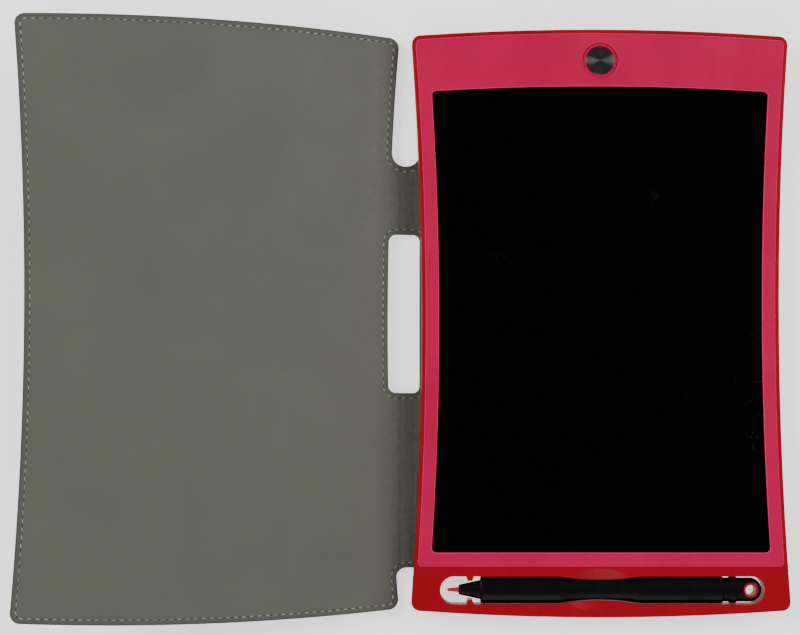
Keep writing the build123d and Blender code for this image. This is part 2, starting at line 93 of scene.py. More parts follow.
def toned(colour: Colour, share: float) -> Colour:
    """A lighter or darker version of a colour."""
    return tuple(min(1.0, channel * share) for channel in colour)


def unit(vectors: np.ndarray) -> np.ndarray:
    """The same vectors at length 1, one per row."""
    return vectors / np.maximum(np.linalg.norm(vectors, axis=1), 1e-15)[:, None]


def mesh_piece(name: str, points: np.ndarray, faces: Sequence[Sequence[int]]) -> bpy.types.Object:
    """Makes an object at the origin from points and faces.

    Args:
        name: the piece's name.
        points: an N by 3 array, in metres.
        faces: corners of each face, seen anticlockwise from outside.

    Returns:
        The new object, linked to the scene.
    """
    mesh = bpy.data.meshes.new(name)
    mesh.from_pydata([tuple(p) for p in points.tolist()], [], [tuple(f) for f in faces])
    mesh.validate()
    mesh.update()
    piece = bpy.data.objects.new(name, mesh)
    bpy.context.scene.collection.objects.link(piece)
    return piece


def set_float(piece: bpy.types.Object, name: str, values: np.ndarray) -> None:
    """Stores one number per point on a piece."""
    layer = piece.data.attributes.new(name, "FLOAT", "POINT")
    layer.data.foreach_set("value", values.astype(np.float32))


def mark_sharp(piece: bpy.types.Object, faces: Sequence[Sequence[int]]) -> None:
    """Marks the edges of some faces sharp, so that they shade apart from the rest.

    Args:
        piece: the piece that the faces belong to.
        faces: corners of each of those faces.
    """
    keys = set()
    for face in faces:
        for a, b in zip(face, (*face[1:], face[0])):
            keys.add((min(a, b), max(a, b)))
    for edge in piece.data.edges:
        if tuple(sorted(edge.vertices)) in keys:
            edge.use_edge_sharp = True


# ---------------------------------------------------------------------------
# Finishes
# ---------------------------------------------------------------------------
class NodeBuilder:
    """A node tree, with short calls for adding and joining nodes."""

    def __init__(self, tree: bpy.types.NodeTree) -> None:
        """Takes a tree and empties it."""
        self.tree = tree
        self.tree.nodes.clear()

    def add(self, kind: str, inputs: dict | None = None, **settings: object) -> bpy.types.Node:
        """Adds a node.

        Args:
            kind: the node's class name.
            inputs: values or sockets by input name or number.
            settings: the node's own properties.

        Returns:
            The new node.
        """
        node = self.tree.nodes.new(kind)
        for key, value in settings.items():
            setattr(node, key, value)
        for key, value in (inputs or {}).items():
            self.feed(node.inputs[key], value)
        return node

    def feed(self, socket: bpy.types.NodeSocket, value: object) -> None:
        """Gives an input a socket to read or a constant.

        Args:
            socket: the input.
            value: the socket or the constant.
        """
        if isinstance(value, bpy.types.NodeSocket):
            self.tree.links.new(value, socket)
        else:
            socket.default_value = value


class NodeSheet(NodeBuilder):
    """One material's nodes: its shader, and the textures that the finishes share."""

    def __init__(self, name: str) -> None:
        """Starts an empty material with its shader and output.

        Args:
            name: the material's name.
        """
        self.material = bpy.data.materials.new(name)
        self.material.use_nodes = True
        super().__init__(self.material.node_tree)
        self.shader = self.add("ShaderNodeBsdfPrincipled")
        self.add("ShaderNodeOutputMaterial", {"Surface": self.shader.outputs[0]})
        coordinates = self.add("ShaderNodeTexCoord")
        self.place = coordinates.outputs["Object"]
        self.facing = coordinates.outputs["Normal"]

    def set(self, name: str, value: object) -> None:
        """Feeds one of the shader's inputs."""
        self.feed(self.shader.inputs[name], value)

    def noise(self, scale: float, detail: float = 3.0, place: object = None) -> bpy.types.NodeSocket:
        """Cloudy noise, scale in cells per metre."""
        inputs = {"Vector": place or self.place, "Scale": scale, "Detail": detail}
        return self.add("ShaderNodeTexNoise", inputs).outputs[0]

    def cells(self, scale: float) -> bpy.types.NodeSocket:
        """Distance in a field of random cells, scale in cells per metre."""
        return self.add("ShaderNodeTexVoronoi", {"Vector": self.place, "Scale": scale}).outputs["Distance"]

    def stretch(self, scale: tuple[float, float, float]) -> bpy.types.NodeSocket:
        """Object coordinates stretched along the axes."""
        return self.add("ShaderNodeMapping", {"Vector": self.place, "Scale": scale}).outputs[0]

    def span(
        self, value: object, low: float, high: float, to_low: float = 0.0, to_high: float = 1.0
    ) -> bpy.types.NodeSocket:
        """Maps a value from one range to another, clamped."""
        inputs = {0: value, 1: low, 2: high, 3: to_low, 4: to_high}
        return self.add("ShaderNodeMapRange", inputs).outputs[0]

    def math(self, operation: str, first: object, second: object = 0.0) -> bpy.types.NodeSocket:
        """One sum."""
        return self.add("ShaderNodeMath", {0: first, 1: second}, operation=operation).outputs[0]

    def blend_colours(self, share: object, first: object, second: object) -> bpy.types.NodeSocket:
        """Mixes two colours.

        Args:
            share: how much of the second colour, from 0 to 1.
            first, second: colours or sockets.

        Returns:
            The mixed colour.
        """
        node = self.add("ShaderNodeMix", data_type="RGBA")
        self.feed(node.inputs[0], share)
        for socket, value in ((node.inputs[6], first), (node.inputs[7], second)):
            self.feed(socket, (*value, 1.0) if isinstance(value, tuple) else value)
        return node.outputs[2]

    def bump(self, height: object, distance: float, strength: float = 1.0) -> None:
        """Gives the shader a bump, on top of those that it has.

        Args:
            height: the height field.
            distance: how far a height of 1 stands out, in metres.
            strength: how much of the bump is kept.
        """
        inputs = {"Height": height, "Distance": distance, "Strength": strength}
        if self.shader.inputs["Normal"].is_linked:
            inputs["Normal"] = self.shader.inputs["Normal"].links[0].from_socket
        self.set("Normal", self.add("ShaderNodeBump", inputs).outputs[0])


@dataclass(frozen=True)
class MouldedPlastic:
    """Injection-moulded plastic with a fine spark-eroded grain."""

    name: str
    colour: Colour
    roughness: float = 0.42
    grain: float = 0.012 * MM
    grain_scale: float = 5200.0
    lightened: float = 1.06
    specular: float = 0.5
    # Lighter colour painted as a highlight on faces tilted like the chamfers, the tilt where it peaks, and
    # how far it reaches
    highlight_colour: Colour | None = None
    highlight_rise: float = 0.7
    highlight_reach: tuple[float, float] = (0.75, 0.9)

    def make(self) -> bpy.types.Material:
        """Builds the material. Faces tilted like the chamfers get a painted highlight in the lighter
        colour, where there is one.

        Returns:
            The new material.
        """
        sheet = NodeSheet(self.name)
        cloud = sheet.noise(45.0, 4.0)
        pale = toned(self.colour, self.lightened)
        deep = tuple(channel / self.lightened for channel in self.colour)
        body = sheet.blend_colours(sheet.span(cloud, 0.35, 0.65), deep, pale)
        # Painted highlight: faces tilted like the chamfers turn lighter
        if self.highlight_colour:
            rise = sheet.add("ShaderNodeSeparateXYZ", {0: sheet.facing}).outputs["Z"]
            apart = sheet.math("ABSOLUTE", sheet.math("SUBTRACT", rise, self.highlight_rise))
            tilted = sheet.math("SUBTRACT", 1.0, apart)
            body = sheet.blend_colours(sheet.span(tilted, *self.highlight_reach), body, self.highlight_colour)
        sheet.set("Base Color", body)
        scuffs = sheet.noise(260.0, 6.0, sheet.stretch((1.0, 0.12, 1.0)))
        rough = sheet.span(scuffs, 0.3, 0.75, self.roughness - 0.05, self.roughness + 0.09)
        sheet.set("Roughness", rough)
        sheet.set("Specular IOR Level", self.specular)
        sheet.bump(sheet.cells(self.grain_scale), self.grain)
        sheet.bump(sheet.noise(900.0, 2.0), self.grain * 0.6)
        return sheet.material


@dataclass(frozen=True)
class GlossFilm:
    """Black laminated writing film: smooth, with hair-fine stylus marks."""

    name: str
    colour: Colour
    trace: Colour

    def make(self) -> bpy.types.Material:
        """Builds the material.

        Returns:
            The new material.
        """
        sheet = NodeSheet(self.name)
        strokes = sheet.noise(70.0, 5.0, sheet.stretch((1.0, 0.55, 1.0)))
        thin = sheet.math("ABSOLUTE", sheet.math("SUBTRACT", strokes, 0.5))
        line = sheet.span(thin, 0.0, 0.004, 1.0, 0.0)
        patches = sheet.span(sheet.noise(22.0, 1.0), 0.62, 0.74)
        share = sheet.math("MULTIPLY", line, patches)
        sheet.set("Base Color", sheet.blend_colours(share, self.colour, self.trace))
        sheet.set("Roughness", sheet.span(sheet.noise(120.0, 5.0), 0.3, 0.7, 0.2, 0.24))
        sheet.set("Specular IOR Level", 0.04)
        scratches = sheet.noise(1500.0, 2.0, sheet.stretch((1.0, 0.04, 1.0)))
        sheet.bump(scratches, 0.0004 * MM)
        return sheet.material


@dataclass(frozen=True)
class BondedLeather:
    """Grey bonded leather with a pebbled grain, darker towards its rim, with painted shade in its bends
    and over the cover's spine side.
    """

    name: str
    colour: Colour
    rim_and_shade_colour: Colour
    pebble: float = 0.62 * MM

    def make(self) -> bpy.types.Material:
        """Builds the material. It reads the piece's rim attribute, and the one that tells how creased each
        point is and how much painted shade darkens it.

        Returns:
            The new material.
        """
        sheet = NodeSheet(self.name)
        rim = sheet.add("ShaderNodeAttribute", attribute_name="rim").outputs["Fac"]
        fold_and_shade = sheet.add("ShaderNodeAttribute", attribute_name="fold_and_shade").outputs["Fac"]
        cloud = sheet.noise(38.0, 5.0)
        light = toned(self.colour, 1.07)
        dark = toned(self.colour, 0.94)
        hide = sheet.blend_colours(sheet.span(cloud, 0.3, 0.7), dark, light)
        speck = sheet.cells(1.0 / self.pebble)
        pitted = sheet.blend_colours(sheet.span(speck, 0.35, 0.8, 0.0, 0.35), hide, dark)
        # Darker towards the rim
        edge = sheet.span(rim, 0.25 * MM, 2.2 * MM, 0.55, 0.0)
        pitted = sheet.blend_colours(edge, pitted, self.rim_and_shade_colour)
        # Painted shade: the bends and the cover's spine side darken towards the rim colour
        painted_fold_shade = sheet.math("MULTIPLY", fold_and_shade, sheet.span(sheet.noise(500.0), 0.4, 0.7, 0.5, 0.85))
        sheet.set("Base Color", sheet.blend_colours(painted_fold_shade, pitted, self.rim_and_shade_colour))
        sheet.set("Roughness", sheet.span(sheet.noise(700.0), 0.3, 0.7, 0.5, 0.66))
        sheet.set("Specular IOR Level", 0.35)
        sheet.set("Sheen Weight", 0.06)
        sheet.bump(sheet.span(speck, 0.0, 0.75, 1.0, 0.0), 0.035 * MM, 0.7)
        sheet.bump(sheet.noise(5200.0, 2.0), 0.012 * MM, 0.6)
        creases = sheet.noise(1400.0, 3.0, sheet.stretch((1.0, 0.16, 1.0)))
        sheet.bump(sheet.math("MULTIPLY", creases, fold_and_shade), 0.22 * MM, 0.7)
        return sheet.material


@dataclass(frozen=True)
class Thread:
    """Twisted sewing thread."""

    name: str
    colour: Colour

    def make(self) -> bpy.types.Material:
        """Builds the material.

        Returns:
            The new material.
        """
        sheet = NodeSheet(self.name)
        fuzz = sheet.noise(3500.0, 3.0)
        dark = toned(self.colour, 0.68)
        soiled = toned(self.colour, 0.5)
        strand = sheet.blend_colours(sheet.span(fuzz, 0.35, 0.65), dark, self.colour)
        uneven = sheet.span(sheet.noise(130.0, 2.0), 0.42, 0.6)
        sheet.set("Base Color", sheet.blend_colours(uneven, soiled, strand))
        sheet.set("Roughness", sheet.span(fuzz, 0.3, 0.7, 0.72, 0.9))
        sheet.set("Sheen Weight", 0.25)
        twist = sheet.add(
            "ShaderNodeTexWave",
            {"Vector": sheet.place, "Scale": 900.0, "Distortion": 1.5},
            bands_direction="DIAGONAL",
        ).outputs[1]
        sheet.bump(twist, 0.05 * MM, 0.8)
        return sheet.material


@dataclass(frozen=True)
class TurnedMetal:
    """Black anodised metal, faced on a lathe: fine rings round one point."""

    name: str
    colour: Colour
    centre: tuple[float, float, float]
    ring_pitch: float = 0.16 * MM

    def make(self) -> bpy.types.Material:
        """Builds the material. The piece's UV map runs round the disc.

        Returns:
            The new material.
        """
        sheet = NodeSheet(self.name)
        from_centre = sheet.add(
            "ShaderNodeVectorMath", {0: sheet.place, 1: self.centre}, operation="SUBTRACT"
        ).outputs[0]
        flat = sheet.add(
            "ShaderNodeVectorMath", {0: from_centre, 1: (1.0, 1.0, 0.0)}, operation="MULTIPLY"
        ).outputs[0]
        radius = sheet.add("ShaderNodeVectorMath", {0: flat}, operation="LENGTH").outputs["Value"]
        phase = sheet.math("MULTIPLY", radius, 2 * math.pi / self.ring_pitch)
        rings = sheet.math("SINE", phase)
        jitter = sheet.add("ShaderNodeTexNoise", {"W": radius, "Scale": 9000.0}, noise_dimensions="1D")
        uneven = sheet.math("ADD", sheet.math("MULTIPLY", rings, 0.5), jitter.outputs[0])
        light = toned(self.colour, 1.5)
        share = sheet.span(jitter.outputs[0], 0.35, 0.7)
        sheet.set("Base Color", sheet.blend_colours(share, self.colour, light))
        sheet.set("Metallic", 1.0)
        sheet.set("Roughness", sheet.span(jitter.outputs[0], 0.3, 0.7, 0.3, 0.38))
        sheet.set("Anisotropic", 0.92)
        sheet.set("Anisotropic Rotation", 0.25)
        tangent = sheet.add("ShaderNodeTangent", direction_type="UV_MAP", uv_map="UVMap")
        sheet.set("Tangent", tangent.outputs[0])
        sheet.bump(uneven, 0.0015 * MM, 0.5)
        return sheet.material


@dataclass(frozen=True)
class BareMetal:
    """Stamped or drawn metal with a fine directional brushing."""

    name: str
    colour: Colour
    roughness: float = 0.3

    def make(self) -> bpy.types.Material:
        """Builds the material.

        Returns:
            The new material.
        """
        sheet = NodeSheet(self.name)
        brushed = sheet.noise(2200.0, 3.0, sheet.stretch((0.05, 1.0, 1.0)))
        dark = toned(self.colour, 0.7)
        sheet.set("Base Color", sheet.blend_colours(sheet.span(brushed, 0.3, 0.7), dark, self.colour))
        sheet.set("Metallic", 1.0)
        sheet.set("Roughness", sheet.span(brushed, 0.3, 0.7, self.roughness, self.roughness + 0.15))
        sheet.bump(brushed, 0.004 * MM)
        return sheet.material


@dataclass(frozen=True)
class BoardStock:
    """Pressed board, foam or resin board: speckled and dull."""

    name: str
    colour: Colour
    speckle: float = 1800.0
    roughness: float = 0.8

    def make(self) -> bpy.types.Material:
        """Builds the material.

        Returns:
            The new material.
        """
        sheet = NodeSheet(self.name)
        fibres = sheet.noise(self.speckle, 4.0)
        dark = toned(self.colour, 0.75)
        sheet.set("Base Color", sheet.blend_colours(sheet.span(fibres, 0.35, 0.65), dark, self.colour))
        sheet.set("Roughness", sheet.span(fibres, 0.3, 0.7, self.roughness - 0.08, self.roughness))
        sheet.bump(fibres, 0.02 * MM)
        return sheet.material


@dataclass(frozen=True)
class StudioFloor:
    """Pale matt paper on a light table."""

    name: str
    colour: Colour
    glow: float

    def make(self) -> bpy.types.Material:
        """Builds the material.

        Returns:
            The new material.
        """
        sheet = NodeSheet(self.name)
        tooth = sheet.noise(400.0, 4.0)
        pale = toned(self.colour, 0.985)
        sheet.set("Base Color", sheet.blend_colours(tooth, pale, self.colour))
        sheet.set("Roughness", 0.9)
        sheet.set("Emission Color", (*self.colour, 1.0))
        sheet.set("Emission Strength", self.glow)
        return sheet.material


# Lighter pink, painted as a highlight on the chamfers
CHAMFER_HIGHLIGHT_PINK = srgb(236, 40, 112)


class Finish(Enum):
    """Every finish in the scene but the turned metal's."""

    CASE = MouldedPlastic("case_red_plastic", srgb(148, 0, 22), 0.38, specular=0.16)
    BEZEL = MouldedPlastic(
        "bezel_pink_plastic", srgb(183, 0, 67), 0.42, 0.008 * MM, specular=0.14, highlight_colour=CHAMFER_HIGHLIGHT_PINK
    )
    # The bezel's pink, darkened as painted shade for the collar's recess
    SHADED_COLLAR = MouldedPlastic(
        "collar_pink_plastic_shaded", srgb(176, 0, 56), 0.4, 0.008 * MM, specular=0.14, highlight_colour=CHAMFER_HIGHLIGHT_PINK
    )
    STYLUS = MouldedPlastic("stylus_black_plastic", srgb(3, 3, 3), 0.34, grain=0.004 * MM, specular=0.12)
    NIB = MouldedPlastic("nib_red_plastic", srgb(176, 14, 40), 0.36, grain=0.004 * MM, specular=0.3)
    EYELET = MouldedPlastic(
        "eyelet_crimson_plastic", srgb(148, 4, 40), 0.36, grain=0.004 * MM, specular=0.25
    )
    SCREEN = GlossFilm("screen_film", srgb(1, 1, 2), srgb(16, 38, 34))
    GASKET = BoardStock("gasket_tape", srgb(20, 20, 20))
    PLATE = MouldedPlastic("plate_styrene", srgb(70, 70, 72), 0.5)
    CIRCUIT = BoardStock("circuit_board_mask", srgb(24, 92, 58), 900.0, 0.45)
    RESIN = MouldedPlastic("chip_resin", srgb(24, 24, 25), 0.55)
    SPRING = BareMetal("spring_metal", srgb(205, 200, 186))
    TAIL = MouldedPlastic("tail_polyimide", srgb(186, 118, 40), 0.35)
    SCREW = BareMetal("screw_zinc", srgb(176, 178, 182))
    CELL = BareMetal("cell_steel", srgb(214, 214, 216), 0.22)
    FOAM = BoardStock("dark_foam", srgb(62, 62, 62), 1500.0, 0.9)
    BOARD = BoardStock("pressed_board", srgb(150, 134, 108))
    LEATHER = BondedLeather("bonded_leather", srgb(84, 85, 76), srgb(54, 57, 47))
    THREAD = Thread("sewing_thread", srgb(170, 170, 160))
    # Dark colour painted as the shade where the needle went through the leather
    HOLE_SHADE = BoardStock("needle_hole_shade", srgb(36, 36, 32), 3000.0, 0.9)
    FLOOR = StudioFloor("floor_paper", (0.9, 0.9, 0.9), 1.1)

    def material(self) -> bpy.types.Material:
        """The finish's material, made on first use.

        Returns:
            The same material each time.
        """
        if self not in MADE:
            MADE[self] = self.value.make()
        return MADE[self]


MADE: dict[Finish, bpy.types.Material] = {}


def dress(piece: bpy.types.Object, material: bpy.types.Material) -> None:
    """Gives a new piece its material.

    Args:
        piece: the new piece.
        material: its finish.
    """
    piece.data.materials.clear()
    piece.data.materials.append(material)


# ---------------------------------------------------------------------------
# The folio's outline, laid flat
# ---------------------------------------------------------------------------
def arc_through(start: tuple, middle: tuple, end: tuple, count: int) -> Loop:
    """Points along the circle through three points.

    Args:
        start, middle, end: the three points.
        count: how many points to return.

    Returns:
        The points, from start to end.
    """
    a, b, c = (np.array(p, float) for p in (start, middle, end))
    cross = (b[0] - a[0]) * (c[1] - a[1]) - (b[1] - a[1]) * (c[0] - a[0])
    if abs(cross) < 1e-12:
        return a + (c - a) * np.linspace(0, 1, count)[:, None]
    ab, ac = (b @ b - a @ a) / 2, (c @ c - a @ a) / 2
    centre = np.linalg.solve(np.array([b - a, c - a]), np.array([ab, ac]))
    first, last = a - centre, c - centre
    turn = math.atan2(first[0] * last[1] - first[1] * last[0], first @ last)
    if np.sign(turn) != np.sign(cross):
        turn += math.copysign(2 * math.pi, cross)
    angle = math.atan2(first[1], first[0]) + turn * np.linspace(0, 1, count)
    return centre + np.linalg.norm(first) * np.column_stack([np.cos(angle), np.sin(angle)])


def line(start: tuple, end: tuple, count: int) -> Loop:
    """Points along a straight line."""
    return np.array(start, float) + np.outer(np.linspace(0, 1, count), np.subtract(end, start))


def left_normals(path: Loop, closed: bool = False) -> Loop:
    """Unit normals to the left of a path.

    Args:
        path: the path's points.
        closed: whether the last point joins the first.

    Returns:
        One normal per point.
    """
    if closed:
        along = np.roll(path, -1, axis=0) - np.roll(path, 1, axis=0)
    else:
        along = np.gradient(path, axis=0)
    along = unit(along)
    return np.column_stack([-along[:, 1], along[:, 0]])


def crossing(first: Loop, second: Loop) -> tuple[int, int]:
    """Finds where two paths cross.

    Args:
        first, second: the paths.

    Returns:
        The numbers of the nearest pair of points, one on each path.
    """
    gap = np.linalg.norm(first[:, None, :] - second[None, :, :], axis=2)
    return np.unravel_index(int(gap.argmin()), gap.shape)


def round_corner(before: Loop, after: Loop, radius: float) -> tuple[Loop, Loop, Loop]:
    """Rounds the corner where two finely divided sides meet.

    Args:
        before: the side that ends at the corner.
        after: the side that starts there.
        radius: the corner's radius.

    Returns:
        The shortened first side, the arc and the shortened second side.
    """
    into, out = before[-1] - before[-2], after[1] - after[0]
    side = np.sign(into[0] * out[1] - into[1] * out[0])
    shifted = [path + side * radius * left_normals(path) for path in (before, after)]
    i, j = crossing(*shifted)
    centre = (shifted[0][i] + shifted[1][j]) / 2
    a, b = before[i] - centre, after[j] - centre
    turn = math.atan2(a[0] * b[1] - a[1] * b[0], a @ b)
    count = max(FEWEST_ARC_POINTS, int(abs(turn) * radius / ARC_STEP))
    angle = math.atan2(a[1], a[0]) + turn * np.linspace(0, 1, count)[1:-1]
    arc = centre + radius * np.column_stack([np.cos(angle), np.sin(angle)])
    return before[: i + 1], arc, after[j:]


def even_steps(path: Loop, step: float) -> Loop:
    """Thins a finely divided path, keeping its ends.

    Args:
        path: the path's points.
        step: about how far apart the kept points are.

    Returns:
        Evenly spaced points.
    """
    run = np.concatenate([[0], np.cumsum(np.linalg.norm(np.diff(path, axis=0), axis=1))])
    count = max(2, int(round(run[-1] / step)) + 1)
    at = np.linspace(0, run[-1], count)
    return np.column_stack([np.interp(at, run, path[:, k]) for k in (0, 1)])


def rounded_loop(sides: Sequence[Loop], radii: Sequence[float], steps: Sequence[float]) -> Loop:
    """Joins sides into a closed loop.

    Args:
        sides: finely divided sides, each starting where the last one ends.
        radii: the radius of the corner at the end of each side; 0 leaves it sharp.
        steps: the distance between the points that are kept on each side.

    Returns:
        The loop's points, without a repeated last point.
    """
    parts = list(sides)
    arcs: list[Loop | None] = []
    for k, radius in enumerate(radii):
        after = (k + 1) % len(parts)
        arc = None
        if radius:
            parts[k], arc, parts[after] = round_corner(parts[k], parts[after], radius)
        arcs.append(arc)
    pieces = []
    for side, arc, step in zip(parts, arcs, steps):
        pieces.append(even_steps(side, step))
        if arc is not None:
            pieces.append(arc)
    loop = np.concatenate(pieces)
    apart = np.linalg.norm(loop - np.roll(loop, 1, axis=0), axis=1) > SAME_POINT
    return loop[apart]


def inside(points: Loop, loop: Loop) -> np.ndarray:
    """Tells which points lie inside a closed loop.

    Args:
        points: the points to test.
        loop: the loop.

    Returns:
        True or False per point.
    """
    result = np.zeros(len(points), bool)
    nxt = np.roll(loop, -1, axis=0)
    for (x1, y1), (x2, y2) in zip(loop, nxt):
        if y1 == y2:
            continue
        spans = (points[:, 1] < max(y1, y2)) & (points[:, 1] >= min(y1, y2))
        cut = x1 + (points[:, 1] - y1) * (x2 - x1) / (y2 - y1)
        result ^= spans & (points[:, 0] < cut)
    return result


def distance_to(points: Loop, loops: Sequence[Loop]) -> np.ndarray:
    """Measures points against closed loops, some at a time to spare memory.

    Args:
        points: the points to measure from.
        loops: the loops.

    Returns:
        The distance from each point to the nearest loop.
    """
    best = np.full(len(points), np.inf)
    at_once = 2000
    for loop in loops:
        along = np.roll(loop, -1, axis=0) - loop
        size = (along**2).sum(1)
        for low in range(0, len(points), at_once):
            part = slice(low, low + at_once)
            rel = points[part][:, None, :] - loop[None]
            t = np.clip((rel * along[None]).sum(2) / size[None], 0, 1)
            gap = np.linalg.norm(rel - t[..., None] * along[None], axis=2).min(1)
            best[part] = np.minimum(best[part], gap)
    return best


@dataclass(frozen=True)
class LeafShape:
    """A leaf with hollow sides and crowned ends, between its unrounded corners."""

    centre: float
    width: float
    height: float
    hollow: float
    crown: float
    side_points: int = 2400
    end_points: int = 1600
    outline_step: float = 2.0 * MM

    def side(self, sign: int, low: float, high: float) -> Loop:
        """One hollow side.

        Args:
            sign: 1 for the right side, -1 for the left.
            low, high: the part to keep, along Y.

        Returns:
            Points going up the page.
        """
        x, y = self.centre + sign * self.width / 2, self.height / 2
        whole = arc_through((x, -y), (x - sign * self.hollow, 0), (x, y), self.side_points)
        inner = whole[(whole[:, 1] > low) & (whole[:, 1] < high)]
        ends = [[np.interp(at, whole[:, 1], whole[:, 0]), at] for at in (low, high)]
        return np.concatenate([ends[:1], inner, ends[1:]])

    def end(self, sign: int, low: float | None = None) -> Loop:
        """One crowned end.

        Args:
            sign: 1 for the top, -1 for the bottom.
            low: where to start along X, if not at the corner.

        Returns:
            Points going to the right.
        """
        x, y = self.width / 2, self.height / 2
        start, middle, stop = (-x, sign * y), (0, sign * (y + self.crown)), (x, sign * y)
        whole = arc_through(start, middle, stop, self.end_points) + [self.centre, 0]
        if low is None:
            return whole
        first = [[low, np.interp(low, whole[:, 0], whole[:, 1])]]
        return np.concatenate([first, whole[whole[:, 0] > low]])

    def outline(self) -> Loop:
        """The whole leaf as a closed loop with sharp corners.

        Returns:
            The loop, anticlockwise.
        """
        y = self.height / 2
        sides = [self.end(-1), self.side(1, -y, y), self.end(1)[::-1], self.side(-1, -y, y)[::-1]]
        return np.concatenate([even_steps(side, self.outline_step)[:-1] for side in sides])


@dataclass
class FolioPlan:
    """The folio laid flat: cover, two bands and back panel cut from one hide."""

    cover: LeafShape = LeafShape(-146.55 * MM, 142.5 * MM, 216.5 * MM, 4.4 * MM, 2.8 * MM)
    panel: LeafShape = LeafShape(0.0, 138.6 * MM, 212.0 * MM, 4.06 * MM, 2.66 * MM)
    panel_left: float = -68.0 * MM
    upper_band: tuple[float, float] = (33.4 * MM, 59.5 * MM)
    lower_band: tuple[float, float] = (-92.8 * MM, -26.7 * MM)
    cover_corner: float = 3.8 * MM
    panel_corner: float = 3.0 * MM
    foot_notch: float = 3.5 * MM
    slot_cover_corner: float = 3.0 * MM
    slot_panel_corner: float = 2.5 * MM
    cuts: tuple[float, float, float] = (-68.4 * MM, -73.3 * MM, -77.6 * MM)
    foot_cut: float = -96.3 * MM
    side_step: float = 1.3 * MM
    band_step: float = 0.5 * MM
    leaf_step: float = 2.0 * MM
    upper_zone: tuple[float, float] = (20.0 * MM, 66.0 * MM)
    lower_zone_top: float = -10.0 * MM
    foot_points: int = 1500
    notch_side_points: int = 500
    notch_points: int = 300
    slot_end_points: int = 200
    slot_side_points: int = 800
    loops: list[Loop] = field(default_factory=list)

    def __post_init__(self) -> None:
        """Works out the closed loops: the outline and the opening between the bands."""
        self.loops = [self.outer_loop(), self.slot_loop()]

    def cover_edge(self, y: float) -> float:
        """X of the cover's spine edge at y."""
        return float(self.cover.side(1, y, y + MM)[0, 0])

    def outer_loop(self) -> Loop:
        """The outline, anticlockwise.

        Returns:
            The loop's points.
        """
        half = self.cover.height / 2
        foot, top = self.lower_band[0], self.upper_band[1]
        notch_left = self.cover_edge(top)
        radius = (self.panel_left - notch_left) / 2
        notch_y = top + radius
        notch_start = (self.panel_left, notch_y)
        notch_end = (self.cover_edge(notch_y), notch_y)
        foot_left = (self.cover_edge(foot), foot)
        panel_foot = self.panel.side(1, foot, foot + MM)[0]
        panel_top = self.panel.end(1, self.panel_left)
        lowest = ((self.panel_left + notch_left) / 2, top)
        sides = [
            (self.cover.end(-1), self.cover_corner, self.side_step),
            (self.cover.side(1, -half, foot), self.foot_notch, self.side_step),
            (line(foot_left, tuple(panel_foot), self.foot_points), self.panel_corner, self.band_step),
            (self.panel.side(1, foot, self.panel.height / 2), self.panel_corner, self.side_step),
            (panel_top[::-1], self.panel_corner, self.side_step),
            (line(tuple(panel_top[0]), notch_start, self.notch_side_points), 0, self.side_step),
            (arc_through(notch_start, lowest, notch_end, self.notch_points), 0, self.band_step),
            (self.cover.side(1, notch_y, half), self.cover_corner, self.side_step),
            (self.cover.end(1)[::-1], self.cover_corner, self.side_step),
            (self.cover.side(-1, -half, half)[::-1], self.cover_corner, self.side_step),
        ]
        return rounded_loop(*zip(*sides))

    def slot_loop(self) -> Loop:
        """The opening between the bands, clockwise.

        Returns:
            The loop's points.
        """
        low, high = self.lower_band[1], self.upper_band[0]
        top_left, top_right = (self.cover_edge(high), high), (self.panel_left, high)
        low_left, low_right = (self.cover_edge(low), low), (self.panel_left, low)
        sides = [
            (line(top_left, top_right, self.slot_end_points), self.slot_panel_corner, self.band_step),
            (line(top_right, low_right, self.slot_side_points), self.slot_panel_corner, self.side_step),
            (line(low_right, low_left, self.slot_end_points), self.slot_cover_corner, self.band_step),
            (self.cover.side(1, low, high), self.slot_cover_corner, self.side_step),
        ]
        return rounded_loop(*zip(*sides))

    def inset(self, distance: float) -> list[Loop]:
        """Moves both loops into the hide.

        Args:
            distance: how far.

        Returns:
            The moved loops, without the points that would cross over.
        """
        moved = []
        for loop in self.loops:
            ring = loop + distance * left_normals(loop, closed=True)
            if distance:
                ring = ring[distance_to(ring, self.loops) > distance - TOUCH]
            moved.append(ring)
        return moved

    def panel_outline(self) -> Loop:
        """The back panel's own outline, closed beside the spine.

        Returns:
            The loop's points.
        """
        foot = self.lower_band[0]
        top = self.panel.end(1, self.panel_left)
        right = self.panel.side(1, foot, self.panel.height / 2)
        corners = np.array([[self.panel_left, foot]])
        sides = [even_steps(right, self.leaf_step), even_steps(top[::-1], self.leaf_step)[1:]]
        return np.concatenate([corners, *sides])

    def leaves(self) -> list[Loop]:
        """The outlines of the cover and of the back panel."""
        return [self.cover.outline(), self.panel_outline()]


